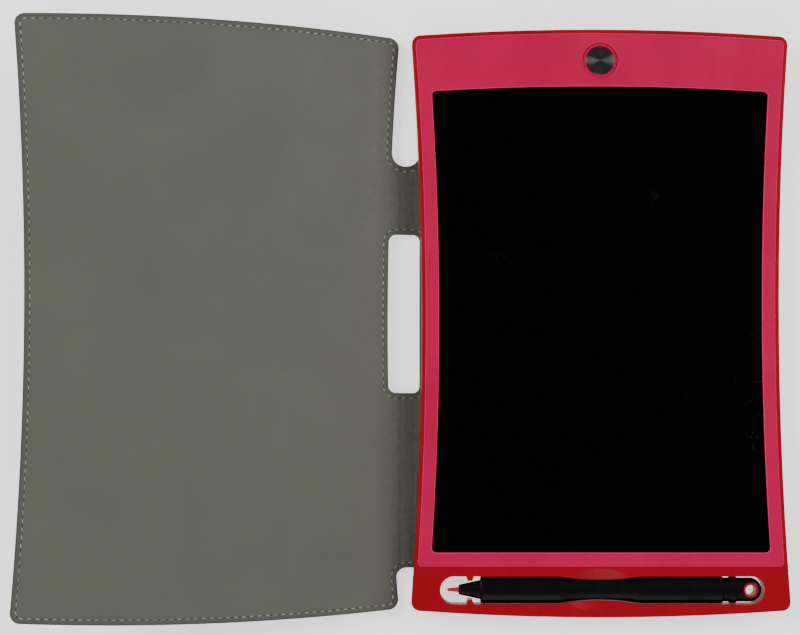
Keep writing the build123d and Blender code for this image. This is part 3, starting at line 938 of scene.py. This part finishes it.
# ---------------------------------------------------------------------------
# The leather
# ---------------------------------------------------------------------------
@dataclass
class Folds:
    """How the flat folio is bent to its rest pose, at two lines parallel to Y."""

    angle: float = math.radians(7.5)
    height: float = 3.1 * MM
    tablet_line: float = -70.65 * MM
    cover_line: float = -75.95 * MM
    tablet_bend: tuple[float, float] = (-68.6 * MM, -72.9 * MM)
    cover_bend: tuple[float, float] = (-73.7 * MM, -77.1 * MM)
    middle: float = 1.1 * MM
    # How far and how strongly the painted shade over the cover's spine side reaches
    spine_shade_run: float = 9.0 * MM
    spine_shade_share: float = 0.6

    def shares(self, x: np.ndarray) -> tuple[np.ndarray, np.ndarray]:
        """How far the tablet's bend and the cover's have turned at x, from 0 to 1."""
        bends = (self.tablet_bend, self.cover_bend)
        return tuple(smooth((start - x) / (start - end)) for start, end in bends)

    def turned(self, points: np.ndarray, line_x: float, share: np.ndarray) -> np.ndarray:
        """Turns points about one fold line.

        Args:
            points: the points.
            line_x: where the line is.
            share: how much of the rest angle each point turns by.

        Returns:
            The turned points.
        """
        dx, dz = points[:, 0] - line_x, points[:, 2] - self.height
        cos, sin = np.cos(share * self.angle), np.sin(share * self.angle)
        x = line_x + dx * cos + dz * sin
        z = self.height - dx * sin + dz * cos
        return np.column_stack([x, points[:, 1], z])

    def rest(self, flat: np.ndarray) -> np.ndarray:
        """Flat points at the rest pose.

        Args:
            flat: the points with the folio laid flat.

        Returns:
            The same points at rest.
        """
        tablet_share, cover_share = self.shares(flat[:, 0])
        bent = self.turned(flat, self.cover_line, cover_share)
        return self.turned(bent, self.tablet_line, tablet_share)

    def crease_and_shade(self, x: np.ndarray) -> np.ndarray:
        """How much the leather is creased by folding, and how much painted shade its colour gets.

        Args:
            x: places on the flat plan.

        Returns:
            1 in the middle of a bend, fading over the cover's spine side; that fade is painted shade only,
            and the bends carry creasing and painted shade.
        """
        tablet_share, cover_share = self.shares(x)
        bends = 4 * np.maximum(tablet_share * (1 - tablet_share), cover_share * (1 - cover_share))
        between = (x < self.tablet_bend[0]) & (x > self.cover_bend[1])
        # Painted shade that fades in over the cover's spine side
        fading = self.spine_shade_share * smooth((x - self.cover_bend[1]) / self.spine_shade_run + 1)
        return np.maximum(bends, np.where(between | (x < self.cover_bend[1]), fading, 0.0))


class Region(Enum):
    """Part of the folio that moves as one, and the CAD nodes that it stands for."""

    BACK = ("back_leather", ("back_skin", "back_lining"))
    COVER = ("cover_leather", ("cover_skin", "cover_lining"))
    UPPER_HINGE = ("upper_band_leather", ("spine_skin_upper", "spine_lining_upper"))
    LOWER_HINGE = ("lower_band_leather", ("spine_skin_lower", "spine_lining_lower"))
    UPPER_EDGE = ("upper_band_cover_edge", ("spine_skin_upper", "spine_lining_upper"))
    LOWER_EDGE = ("lower_band_cover_edge", ("spine_skin_lower", "spine_lining_lower"))

    @staticmethod
    def of(points: np.ndarray, plan: FolioPlan) -> np.ndarray:
        """Sorts flat points into regions.

        Args:
            points: the points.
            plan: the flat plan, with the lines that part the regions.

        Returns:
            The number of the region that each point lies in.
        """
        x, y = points[:, 0], points[:, 1]
        panel_cut, spine_cut, cover_cut = plan.cuts
        upper = (y > plan.upper_zone[0]) & (y < plan.upper_zone[1])
        lower = (y > plan.foot_cut) & (y < plan.lower_zone_top)
        banded = (upper | lower) & (x < panel_cut) & (x > cover_cut)
        result = np.where(x > panel_cut, 0, 1)
        hinge = np.where(upper, 2, 3)
        edge = np.where(upper, 4, 5)
        return np.where(banded, np.where(x > spine_cut, hinge, edge), result)


def attach(piece: bpy.types.Object, region: Region) -> None:
    """Makes a back or cover piece follow its body; band pieces only have their transform baked.

    Args:
        piece: leather or stitches, at rest.
        region: the part of the folio that it belongs to.
    """
    if region is Region.BACK:
        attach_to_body(piece, "tablet")
    elif region is Region.COVER:
        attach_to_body(piece, "cover")
    elif region in (Region.UPPER_HINGE, Region.LOWER_HINGE):
        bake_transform(piece)
    else:
        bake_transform(piece)


@dataclass(frozen=True)
class Spread:
    """Rows of points over a box, with every size in millimetres."""

    x_span: tuple[float, float]
    y_span: tuple[float, float]
    column_step: float
    row_step: float

    def points(self) -> Loop:
        """The points, in metres.

        Returns:
            The points, row by row.
        """
        xs = np.arange(*self.x_span, self.column_step)
        ys = np.arange(*self.y_span, self.row_step)
        return np.stack(np.meshgrid(xs, ys), -1).reshape(-1, 2) * MM


@dataclass
class Leather:
    """Skin and lining of the whole folio, glued round the boards and sewn at the rim."""

    plan: FolioPlan
    folds: Folds
    half_rim: float = 0.6 * MM
    raw_edge: float = 0.34 * MM
    edge_round: float = 0.5 * MM
    swell: float = 0.5 * MM
    swell_start: float = 2.4 * MM
    swell_run: float = 9.0 * MM
    groove: float = 0.14 * MM
    groove_width: float = 0.32 * MM
    stitch_line: float = 2.0 * MM
    cut_step: float = 0.3 * MM
    rings: tuple[float, ...] = (0.12, 0.3, 0.5, 1.55, 1.8, 2.0, 2.2, 2.45)
    swell_rings: tuple[float, ...] = (2.9, 4.0, 5.2, 6.6, 8.2, 10.0, 12.0)
    swell_ring_step: float = 1.5 * MM
    swell_ring_clear: float = 2.6 * MM
    leaf_spread: Spread = Spread((-218, 72), (-112, 112), 4.5, 4.5)
    leaf_spread_clear: float = 13.5 * MM
    band_spreads: tuple[Spread, ...] = (
        Spread((-79.2, -66.4), (33, 66), 0.45, 1.1),
        Spread((-79.2, -66.4), (-96, -26), 0.45, 1.1),
    )
    band_spread_clear: float = 2.7 * MM
    foot_chain: tuple[float, float] = (-78.2 * MM, -74.8 * MM)
    upper_chain: tuple[float, float] = (28.0 * MM, 67.0 * MM)
    lower_chain_top: float = -22.0 * MM

    def plan_points(self) -> tuple[Loop, list[tuple[int, int]]]:
        """Lays out the flat plan's points.

        Returns:
            The points, and pairs of them that an edge must join.
        """
        blocks: list[Loop] = []
        edges: list[tuple[int, int]] = []

        def add(points: Loop, closed: bool = False) -> None:
            """Adds points, joined into a loop if closed.

            Args:
                points: the points.
                closed: whether edges join them into a loop.
            """
            first = sum(len(block) for block in blocks)
            blocks.append(points)
            if closed:
                count = len(points)
                edges.extend((first + k, first + (k + 1) % count) for k in range(count))

        for loop in self.plan.loops:
            add(loop, True)
        for distance in self.rings:
            for ring in self.plan.inset(distance * MM):
                add(ring)
        leaves = self.plan.leaves()
        for leaf in leaves:
            fine = even_steps(np.concatenate([leaf, leaf[:1]]), self.swell_ring_step)[:-1]
            for distance in self.swell_rings:
                ring = fine + distance * MM * left_normals(fine, closed=True)
                keep = distance_to(ring, [leaf]) > distance * MM - TOUCH
                clear = distance_to(ring, self.plan.loops) > self.swell_ring_clear
                add(ring[keep & clear])
        spread = self.leaf_spread.points()
        kept = np.zeros(len(spread), bool)
        for leaf in leaves:
            kept |= inside(spread, leaf) & (distance_to(spread, [leaf]) > self.leaf_spread_clear)
        add(spread[kept])
        for band_spread in self.band_spreads:
            band = band_spread.points()
            add(band[distance_to(band, self.plan.loops) > self.band_spread_clear])
        foot = self.plan.foot_cut
        chains = [tuple((x, foot) for x in self.foot_chain)]
        for x in self.plan.cuts:
            chains.append(tuple((x, y) for y in self.upper_chain))
            chains.append(((x, foot), (x, self.lower_chain_top)))
        for start, end in chains:
            first = sum(len(block) for block in blocks)
            count = int(math.dist(start, end) / self.cut_step)
            add(line(start, end, count))
            edges.extend((first + k, first + k + 1) for k in range(count - 1))
        return np.concatenate(blocks), edges

    def triangles(self) -> tuple[Loop, np.ndarray]:
        """Cuts the flat plan into triangles.

        Returns:
            The points, and the corners of each triangle.
        """
        points, edges = self.plan_points()
        scaled = [Vector(point) for point in (points / MM).tolist()]
        found = delaunay_2d_cdt(scaled, edges, [], 0, 1e-5, False)
        flat = np.array([vertex[:] for vertex in found[0]]) * MM
        faces = np.array([tuple(face) for face in found[2]])
        middle = flat[faces].mean(axis=1)
        a, b, c = (flat[faces[:, k]] for k in range(3))
        area = (b[:, 0] - a[:, 0]) * (c[:, 1] - a[:, 1]) - (b[:, 1] - a[:, 1]) * (c[:, 0] - a[:, 0])
        outline, slot = self.plan.loops
        kept = inside(middle, outline) & ~inside(middle, slot) & (np.abs(area) > 1e-12)
        faces[area < 0] = faces[area < 0][:, ::-1]
        return flat, faces[kept]

    def half_thickness(self, rim: np.ndarray, leaf: np.ndarray) -> np.ndarray:
        """Half the folio's thickness.

        Args:
            rim: distance from the raw edge.
            leaf: distance inside the nearest leaf's outline.

        Returns:
            Height of the face above the middle of the leather.
        """
        near = np.clip(1 - rim / self.edge_round, 0, 1)
        rounded = self.raw_edge + (self.half_rim - self.raw_edge) * np.sqrt(1 - near**2)
        sewn = self.groove * np.exp(-(((rim - self.stitch_line) / self.groove_width) ** 2))
        raised = self.swell * smooth((leaf - self.swell_start) / self.swell_run)
        return rounded - sewn + raised

    def build(self) -> None:
        """Builds, dresses and attaches the leather, one closed piece per region."""
        flat, faces = self.triangles()
        count = len(flat)
        rim = distance_to(flat, self.plan.loops)
        leaf = np.zeros(count)
        for outline in self.plan.leaves():
            within = inside(flat, outline)
            leaf = np.where(within, np.maximum(leaf, distance_to(flat, [outline])), leaf)
        half = self.half_thickness(rim, leaf)
        middle = self.folds.middle
        top = np.column_stack([flat, middle + half])
        bottom = np.column_stack([flat, middle - half])
        points = self.folds.rest(np.concatenate([top, bottom]))
        # Creasing and painted shade per point, for the leather's colour and bumps
        crease_and_shade = self.folds.crease_and_shade(flat[:, 0])
        marks = {"rim": np.tile(rim, 2), "fold_and_shade": np.tile(crease_and_shade, 2)}
        region_of = Region.of(flat[faces].mean(axis=1), self.plan)
        normals = self.vertex_normals(points, faces, count)
        for number, region in enumerate(Region):
            piece = self.region_piece(region, points, faces[region_of == number], normals, marks, flat)
            LOG.info("%s: %d faces", piece.name, len(piece.data.polygons))

    @staticmethod
    def border(faces: np.ndarray) -> list[tuple[int, int]]:
        """Finds the edges of a patch.

        Args:
            faces: the patch's triangles.

        Returns:
            The directed edges that only one of them uses.
        """
        directed = set()
        for a, b, c in faces.tolist():
            directed.update(((a, b), (b, c), (c, a)))
        return [(a, b) for a, b in directed if (b, a) not in directed]

    def vertex_normals(self, points: np.ndarray, faces: np.ndarray, count: int) -> np.ndarray:
        """Works out normals over the whole folio, so that its parts meet without a seam.

        Args:
            points: the points at rest, upper face first.
            faces: the upper face's triangles.
            count: how many points the upper face has.

        Returns:
            A smooth normal per point.
        """
        walls = [(b, a, a + count) for a, b in self.border(faces)]
        walls += [(b, a + count, b + count) for a, b in self.border(faces)]
        lower = faces[:, ::-1] + count
        every = np.concatenate([faces, lower, np.array(walls)])
        a, b, c = (points[every[:, k]] for k in range(3))
        weighted = np.cross(b - a, c - a)
        normals = np.zeros_like(points)
        for k in range(3):
            np.add.at(normals, every[:, k], weighted)
        return unit(normals)

    def region_piece(
        self,
        region: Region,
        points: np.ndarray,
        faces: np.ndarray,
        normals: np.ndarray,
        marks: dict[str, np.ndarray],
        flat: Loop,
    ) -> bpy.types.Object:
        """One region as a closed piece: top, bottom and the walls round both.

        Args:
            region: which one.
            points: the whole folio's points at rest, upper face first.
            faces: the region's triangles in the upper face.
            normals: a normal per point.
            marks: numbers per point for the finish.
            flat: the flat plan, for telling cut edges from raw ones.

        Returns:
            The piece.
        """
        count = len(points) // 2
        corners = [tuple(face) for face in faces.tolist()]
        corners += [tuple(face) for face in (faces[:, ::-1] + count).tolist()]
        raw, cut = [], []
        for a, b in self.border(faces):
            wall = (a + count, b + count, b, a)
            on_rim = distance_to((flat[[a]] + flat[[b]]) / 2, self.plan.loops)[0] < TOUCH
            (raw if on_rim else cut).append(wall)
        corners += raw
        cut_from = len(corners)
        corners += cut
        used = np.unique(np.concatenate([np.ravel(corner) for corner in corners]))
        number = np.full(len(points), -1)
        number[used] = np.arange(len(used))
        piece = mesh_piece(region.value[0], points[used], [tuple(number[list(c)]) for c in corners])
        loop_normals = []
        for index, corner in enumerate(corners):
            if index < cut_from:
                loop_normals.extend(normals[list(corner)].tolist())
            else:
                a, b, c = (points[corner[k]] for k in range(3))
                face_normal = np.cross(b - a, c - a)
                face_normal = face_normal / max(np.linalg.norm(face_normal), 1e-15)
                loop_normals.extend([face_normal.tolist()] * len(corner))
        piece.data.shade_smooth()
        mark_sharp(piece, [tuple(number[list(c)]) for c in cut])
        piece.data.normals_split_custom_set(loop_normals)
        for name, values in marks.items():
            set_float(piece, name, values[used])
        dress(piece, Finish.LEATHER.material())
        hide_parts(*region.value[1])
        attach(piece, region)
        return piece


@dataclass
class Stitching:
    """One row of small beads round the folio's rim, the same on both faces.

    The thread is one row, and the dark beads between its stitches, painted as the shade where the needle
    went through, are another.
    """

    leather: Leather
    suffix: str
    finish: Finish
    length: float
    width: float
    height: float
    lift: float
    start: float = 0.0
    pitch: float = 2.95 * MM
    slant: float = math.radians(5.0)
    slant_spread: float = 1.6
    seed: int = 7
    segments: int = 8
    rings: int = 6

    def guide(self) -> bpy.types.Object:
        """Draws the closed lines that the stitches follow, on both faces.

        Returns:
            A mesh of edges.
        """
        distance = self.leather.stitch_line
        lift = self.leather.half_rim - self.leather.groove + self.lift
        points, edges = [], []
        for face in (1, -1):
            for loop in self.leather.plan.inset(distance):
                loop = self.started(loop)
                first = len(points)
                height = self.leather.folds.middle + face * lift
                points.extend((x, y, height) for x, y in loop.tolist())
                count = len(loop)
                edges.extend((first + k, first + (k + 1) % count) for k in range(count))
        mesh = bpy.data.meshes.new("stitch_guide")
        mesh.from_pydata(points, edges, [])
        guide = bpy.data.objects.new("stitch_guide", mesh)
        bpy.context.scene.collection.objects.link(guide)
        return guide

    def started(self, loop: Loop) -> Loop:
        """Moves the start of a closed loop on by a share of the pitch.

        Args:
            loop: the loop.

        Returns:
            The same loop from its new start.
        """
        if not self.start:
            return loop
        along = loop[1] - loop[0]
        share = self.start * self.pitch / np.linalg.norm(along)
        skipped = int(share)
        moved = np.roll(loop, -skipped, axis=0)
        first = moved[0] + (share - skipped) * (moved[1] - moved[0])
        return np.concatenate([first[None], moved[1:], moved[:1]])

    def tree(self) -> bpy.types.NodeTree:
        """Sets up the nodes that lay one bead per pitch along the guide.

        Returns:
            A geometry node tree, with the row's sizes as inputs.
        """
        group = bpy.data.node_groups.new("lay_stitches", "GeometryNodeTree")
        kinds = {"Guide": "Geometry", "Seed": "Int", "Thread": "Material"}
        for name in ("Guide", "Pitch", "Length", "Width", "Height", "Slant", "Seed", "Thread"):
            kind = kinds.get(name, "Float")
            group.interface.new_socket(name, in_out="INPUT", socket_type=f"NodeSocket{kind}")
        group.interface.new_socket("Stitches", in_out="OUTPUT", socket_type="NodeSocketGeometry")
        nodes = NodeBuilder(group)
        given = nodes.add("NodeGroupInput").outputs

        curve = nodes.add("GeometryNodeMeshToCurve", {0: given["Guide"]}).outputs[0]
        spacing = {"Curve": curve, "Length": given["Pitch"]}
        even = nodes.add("GeometryNodeResampleCurve", spacing, mode="LENGTH")
        bead = {"Segments": self.segments, "Rings": self.rings, "Radius": 0.5}
        ball = nodes.add("GeometryNodeMeshUVSphere", bead)
        sizes = {"X": given["Length"], "Y": given["Width"], "Z": given["Height"]}
        shape = nodes.add("ShaderNodeCombineXYZ", sizes)

        along = nodes.add("GeometryNodeInputTangent").outputs[0]
        aim = nodes.add("FunctionNodeAlignRotationToVector", {"Vector": along}, axis="X")
        most = nodes.add("ShaderNodeMath", {0: given["Slant"], 1: self.slant_spread}, operation="MULTIPLY")
        lean = nodes.add("FunctionNodeRandomValue", {"Seed": given["Seed"]}, data_type="FLOAT")
        floats = [socket for socket in lean.inputs if socket.type == "VALUE"]
        nodes.feed(floats[0], given["Slant"])
        nodes.feed(floats[1], most.outputs[0])
        drawn = [socket for socket in lean.outputs if socket.type == "VALUE"][0]
        angles = nodes.add("ShaderNodeCombineXYZ", {"Z": drawn}).outputs[0]
        turn = nodes.add("FunctionNodeEulerToRotation", {0: angles}).outputs[0]
        turns = {0: aim.outputs[0], 1: turn}
        rotate = nodes.add("FunctionNodeRotateRotation", turns, rotation_space="LOCAL")

        where = {"Points": even.outputs[0], "Rotation": rotate.outputs[0]}
        what = {"Instance": ball.outputs[0], "Scale": shape.outputs[0]}
        lay = nodes.add("GeometryNodeInstanceOnPoints", {**where, **what}).outputs[0]
        real = nodes.add("GeometryNodeRealizeInstances", {0: lay}).outputs[0]
        paint = nodes.add("GeometryNodeSetMaterial", {"Geometry": real, "Material": given["Thread"]})
        nodes.add("NodeGroupOutput", {0: paint.outputs[0]})
        return group

    def laid(self) -> tuple[np.ndarray, np.ndarray]:
        """Runs the node tree.

        Returns:
            The flat stitches' points and their faces, each row padded with -1.
        """
        guide = self.guide()
        modifier = guide.modifiers.new("stitches", "NODES")
        modifier.node_group = self.tree()
        values = {
            "Pitch": self.pitch,
            "Length": self.length,
            "Width": self.width,
            "Height": self.height,
            "Slant": self.slant,
            "Seed": self.seed,
            "Thread": self.finish.material(),
        }
        for item in modifier.node_group.interface.items_tree:
            if item.name in values:
                modifier[item.identifier] = values[item.name]
        scene_graph = bpy.context.evaluated_depsgraph_get()
        mesh = bpy.data.meshes.new_from_object(guide.evaluated_get(scene_graph))
        guide.modifiers.remove(modifier)
        points = np.empty(len(mesh.vertices) * 3)
        mesh.vertices.foreach_get("co", points)
        most_corners = 4
        faces = [list(f.vertices) + [-1] * (most_corners - len(f.vertices)) for f in mesh.polygons]
        bpy.data.objects.remove(guide)
        bpy.data.meshes.remove(mesh)
        return points.reshape(-1, 3), np.array(faces)

    def build(self) -> None:
        """Builds, dresses and attaches the stitches, one piece per region."""
        points, faces = self.laid()
        per_stitch = self.segments * (self.rings - 1) + 2
        stitch = np.arange(len(points)) // per_stitch
        centres = points.reshape(-1, per_stitch, 3).mean(axis=1)
        region_of = Region.of(centres[:, :2], self.leather.plan)[stitch]
        rest = self.leather.folds.rest(points)
        for index, region in enumerate(Region):
            used = np.flatnonzero(region_of == index)
            if not len(used):
                continue
            number = np.full(len(points), -1)
            number[used] = np.arange(len(used))
            mine = faces[region_of[faces[:, 0]] == index]
            corners = [[int(number[k]) for k in face if k >= 0] for face in mine.tolist()]
            piece = mesh_piece(f"{region.value[0]}_{self.suffix}", rest[used], corners)
            piece.data.shade_smooth()
            dress(piece, self.finish.material())
            attach(piece, region)
            LOG.info("%s: %d beads", piece.name, len(used) // per_stitch)


# ---------------------------------------------------------------------------
# The tablet and its loose parts
# ---------------------------------------------------------------------------
@dataclass
class PlainParts:
    """CAD nodes that keep their shape and only get a finish."""

    finishes: dict[str, Finish]

    def build(self) -> None:
        """Gives every node its finish."""
        for name, finish in self.finishes.items():
            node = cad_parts[name]
            node.data.materials.clear()
            node.data.materials.append(finish.material())
            LOG.info("%s: %s", name, finish.value.name)


@dataclass
class ButtonDisc:
    """The turned metal disc in the erase button."""

    centre: tuple[float, float] = (0.0, 98.8 * MM)
    radius: float = 5.4 * MM
    low: float = 8.5 * MM
    high: float = 9.0 * MM
    chamfer: float = 0.2 * MM
    dish_radius: float = 60.0 * MM
    dish_depth: float = 0.12 * MM
    hub: float = 0.06 * MM
    rim_start: float = 0.05 * MM
    rim_end: float = 0.04 * MM
    edge_break: float = 0.03 * MM
    dish_steps: int = 12
    sharp_angle: float = math.radians(35)
    segments: int = 96

    def profile(self) -> np.ndarray:
        """Draws half of the disc's section.

        Returns:
            Radius and height, from the middle of the face to the middle of the underside.
        """
        lip = math.sqrt(2 * self.dish_radius * self.dish_depth)
        dish = [
            (r, self.high - self.dish_depth + r * r / (2 * self.dish_radius))
            for r in np.linspace(self.hub, lip, self.dish_steps)
        ]
        rim, slope_end = self.radius - self.chamfer, self.high - self.chamfer
        edge = [
            (rim - self.rim_start, self.high),
            (rim + self.rim_end, self.high - self.edge_break),
            (self.radius - self.edge_break, slope_end + self.edge_break),
            (self.radius, slope_end - self.edge_break),
            (self.radius, self.low),
            (self.hub, self.low),
        ]
        return np.array(dish + edge)

    def build(self) -> None:
        """Turns the profile round the button's axis and dresses it."""
        profile = self.profile()
        rows, count = len(profile), self.segments
        angle = 2 * math.pi * np.arange(count) / count
        x = self.centre[0] + profile[:, :1] * np.cos(angle)
        y = self.centre[1] + profile[:, :1] * np.sin(angle)
        z = np.repeat(profile[:, 1:], count, axis=1)
        points = np.stack([x, y, z], -1).reshape(-1, 3)
        faces = [tuple(range(count)), tuple((rows - 1) * count + k for k in reversed(range(count)))]
        for row in range(rows - 1):
            for k in range(count):
                a, b = row * count + k, row * count + (k + 1) % count
                faces.append((a, a + count, b + count, b))
        piece = mesh_piece("button_disc", points, faces)
        layer = piece.data.uv_layers.new(name="UVMap")
        for face in piece.data.polygons:
            round_face = face.index >= 2
            column = (face.index - 2) % count
            for corner, loop in enumerate(face.loop_indices):
                row, k = divmod(piece.data.loops[loop].vertex_index, count)
                if round_face:
                    k = column + (corner in (2, 3))
                layer.data[loop].uv = (k / count, 1 - row / rows)
        piece.data.shade_smooth()
        piece.data.set_sharp_from_angle(angle=self.sharp_angle)
        metal = TurnedMetal("button_turned_metal", srgb(62, 61, 61), (*self.centre, 0.0))
        dress(piece, metal.make())
        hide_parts("button_cap")
        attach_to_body(piece, "erase_button")
        LOG.info("%s: %d faces", piece.name, len(piece.data.polygons))


# ---------------------------------------------------------------------------
# The studio
# ---------------------------------------------------------------------------
@dataclass(frozen=True)
class SoftBox:
    """A square area light."""

    name: str
    place: tuple[float, float, float]
    size: float
    power: float

    def build(self, aim: tuple[float, float, float]) -> None:
        """Sets the light up.

        Args:
            aim: the point that it faces.
        """
        lamp = bpy.data.lights.new(self.name, "AREA")
        lamp.shape = "SQUARE"
        lamp.size = self.size
        lamp.energy = self.power
        holder = bpy.data.objects.new(self.name, lamp)
        holder.location = self.place
        holder.rotation_euler = (Vector(aim) - Vector(self.place)).to_track_quat("-Z", "Y").to_euler()
        bpy.context.scene.collection.objects.link(holder)


@dataclass
class Studio:
    """Pale floor, soft lights and the camera."""

    camera_place: tuple[float, float, float] = (-80.2 * MM, -28.3 * MM, 559.8 * MM)
    tilt: tuple[float, float, float] = (-1.45, 0.5, -0.06)
    focal_length: float = 66.15
    axis_offset: float = 0.053
    sensor: float = 36.0
    nearest: float = 0.01
    floor_gap: float = 0.1 * MM
    floor_size: float = 30.0
    sky: Colour = (0.93, 0.94, 0.95)
    sky_strength: float = 0.42
    aim: tuple[float, float, float] = (-0.07, 0.0, 0.0)
    boxes: tuple[SoftBox, ...] = (
        SoftBox("right_light", (0.95, 0.4, 0.76), 0.55, 10.5),
        SoftBox("left_light", (-1.05, 0.42, 0.86), 0.55, 12.0),
        SoftBox("front_light", (-0.1, -1.1, 0.75), 1.0, 6.5),
    )

    def floor(self) -> None:
        """A wide pale sheet just under the object."""
        half = self.floor_size / 2
        low = -self.floor_gap
        points = np.array([(-half, -half, low), (half, -half, low), (half, half, low), (-half, half, low)])
        sheet = mesh_piece("studio_floor", points, [(0, 1, 2, 3)])
        sheet.data.materials.append(Finish.FLOOR.material())

    def lights(self) -> None:
        """The sky and the soft boxes."""
        world = bpy.data.worlds.new("studio_sky")
        world.use_nodes = True
        sky = world.node_tree.nodes["Background"]
        sky.inputs[0].default_value = (*self.sky, 1.0)
        sky.inputs[1].default_value = self.sky_strength
        bpy.context.scene.world = world
        for box in self.boxes:
            box.build(self.aim)

    def camera(self) -> None:
        """Looks almost straight down on the open folio."""
        ax, ay, az = (math.radians(angle) for angle in self.tilt)
        turn = Matrix.Rotation(ax, 3, "X") @ Matrix.Rotation(ay, 3, "Y") @ Matrix.Rotation(az, 3, "Z")
        lens = bpy.data.cameras.new("camera")
        lens.sensor_width = self.sensor
        lens.lens = self.focal_length
        lens.shift_y = self.axis_offset
        lens.clip_start = self.nearest
        holder = bpy.data.objects.new("camera", lens)
        holder.matrix_world = Matrix.Translation(self.camera_place) @ turn.transposed().to_4x4()
        bpy.context.scene.collection.objects.link(holder)
        bpy.context.scene.camera = holder

    def build(self) -> None:
        """Sets the whole studio up."""
        self.floor()
        self.lights()
        self.camera()


PLAIN_FINISHES = {
    "rear_case": Finish.CASE,
    "front_bezel": Finish.BEZEL,
    "writing_panel": Finish.SCREEN,
    "panel_gasket": Finish.GASKET,
    "backing_plate": Finish.PLATE,
    "circuit_board": Finish.CIRCUIT,
    "dome_switch": Finish.SPRING,
    "controller_chip": Finish.RESIN,
    "tail_connector": Finish.RESIN,
    "panel_tail": Finish.TAIL,
    "cell_top_contact": Finish.SPRING,
    "cell_rim_contact": Finish.SPRING,
    "case_screws": Finish.SCREW,
    "button_plunger": Finish.SHADED_COLLAR,
    "battery_tray": Finish.CASE,
    "coin_cell": Finish.CELL,
    "stylus_barrel": Finish.STYLUS,
    "stylus_nib": Finish.NIB,
    "stylus_eyelet": Finish.EYELET,
    "mounting_pad": Finish.FOAM,
    "back_board": Finish.BOARD,
    "cover_board": Finish.BOARD,
}


def main() -> None:
    """Builds every sub-assembly in turn."""
    logging.basicConfig(level=logging.INFO, format="%(name)s: %(message)s")
    PlainParts(PLAIN_FINISHES).build()
    ButtonDisc().build()
    leather = Leather(FolioPlan(), Folds())
    leather.build()
    Stitching(leather, "thread", Finish.THREAD, 1.5 * MM, 0.42 * MM, 0.4 * MM, 0.05 * MM).build()
    # Dark beads between the stitches, painted as the shade where the needle went through
    Stitching(leather, "holes", Finish.HOLE_SHADE, 1.2 * MM, 0.55 * MM, 0.1 * MM, 0.0, start=0.5).build()
    Studio().build()


if __name__ == "__main__":
    main()
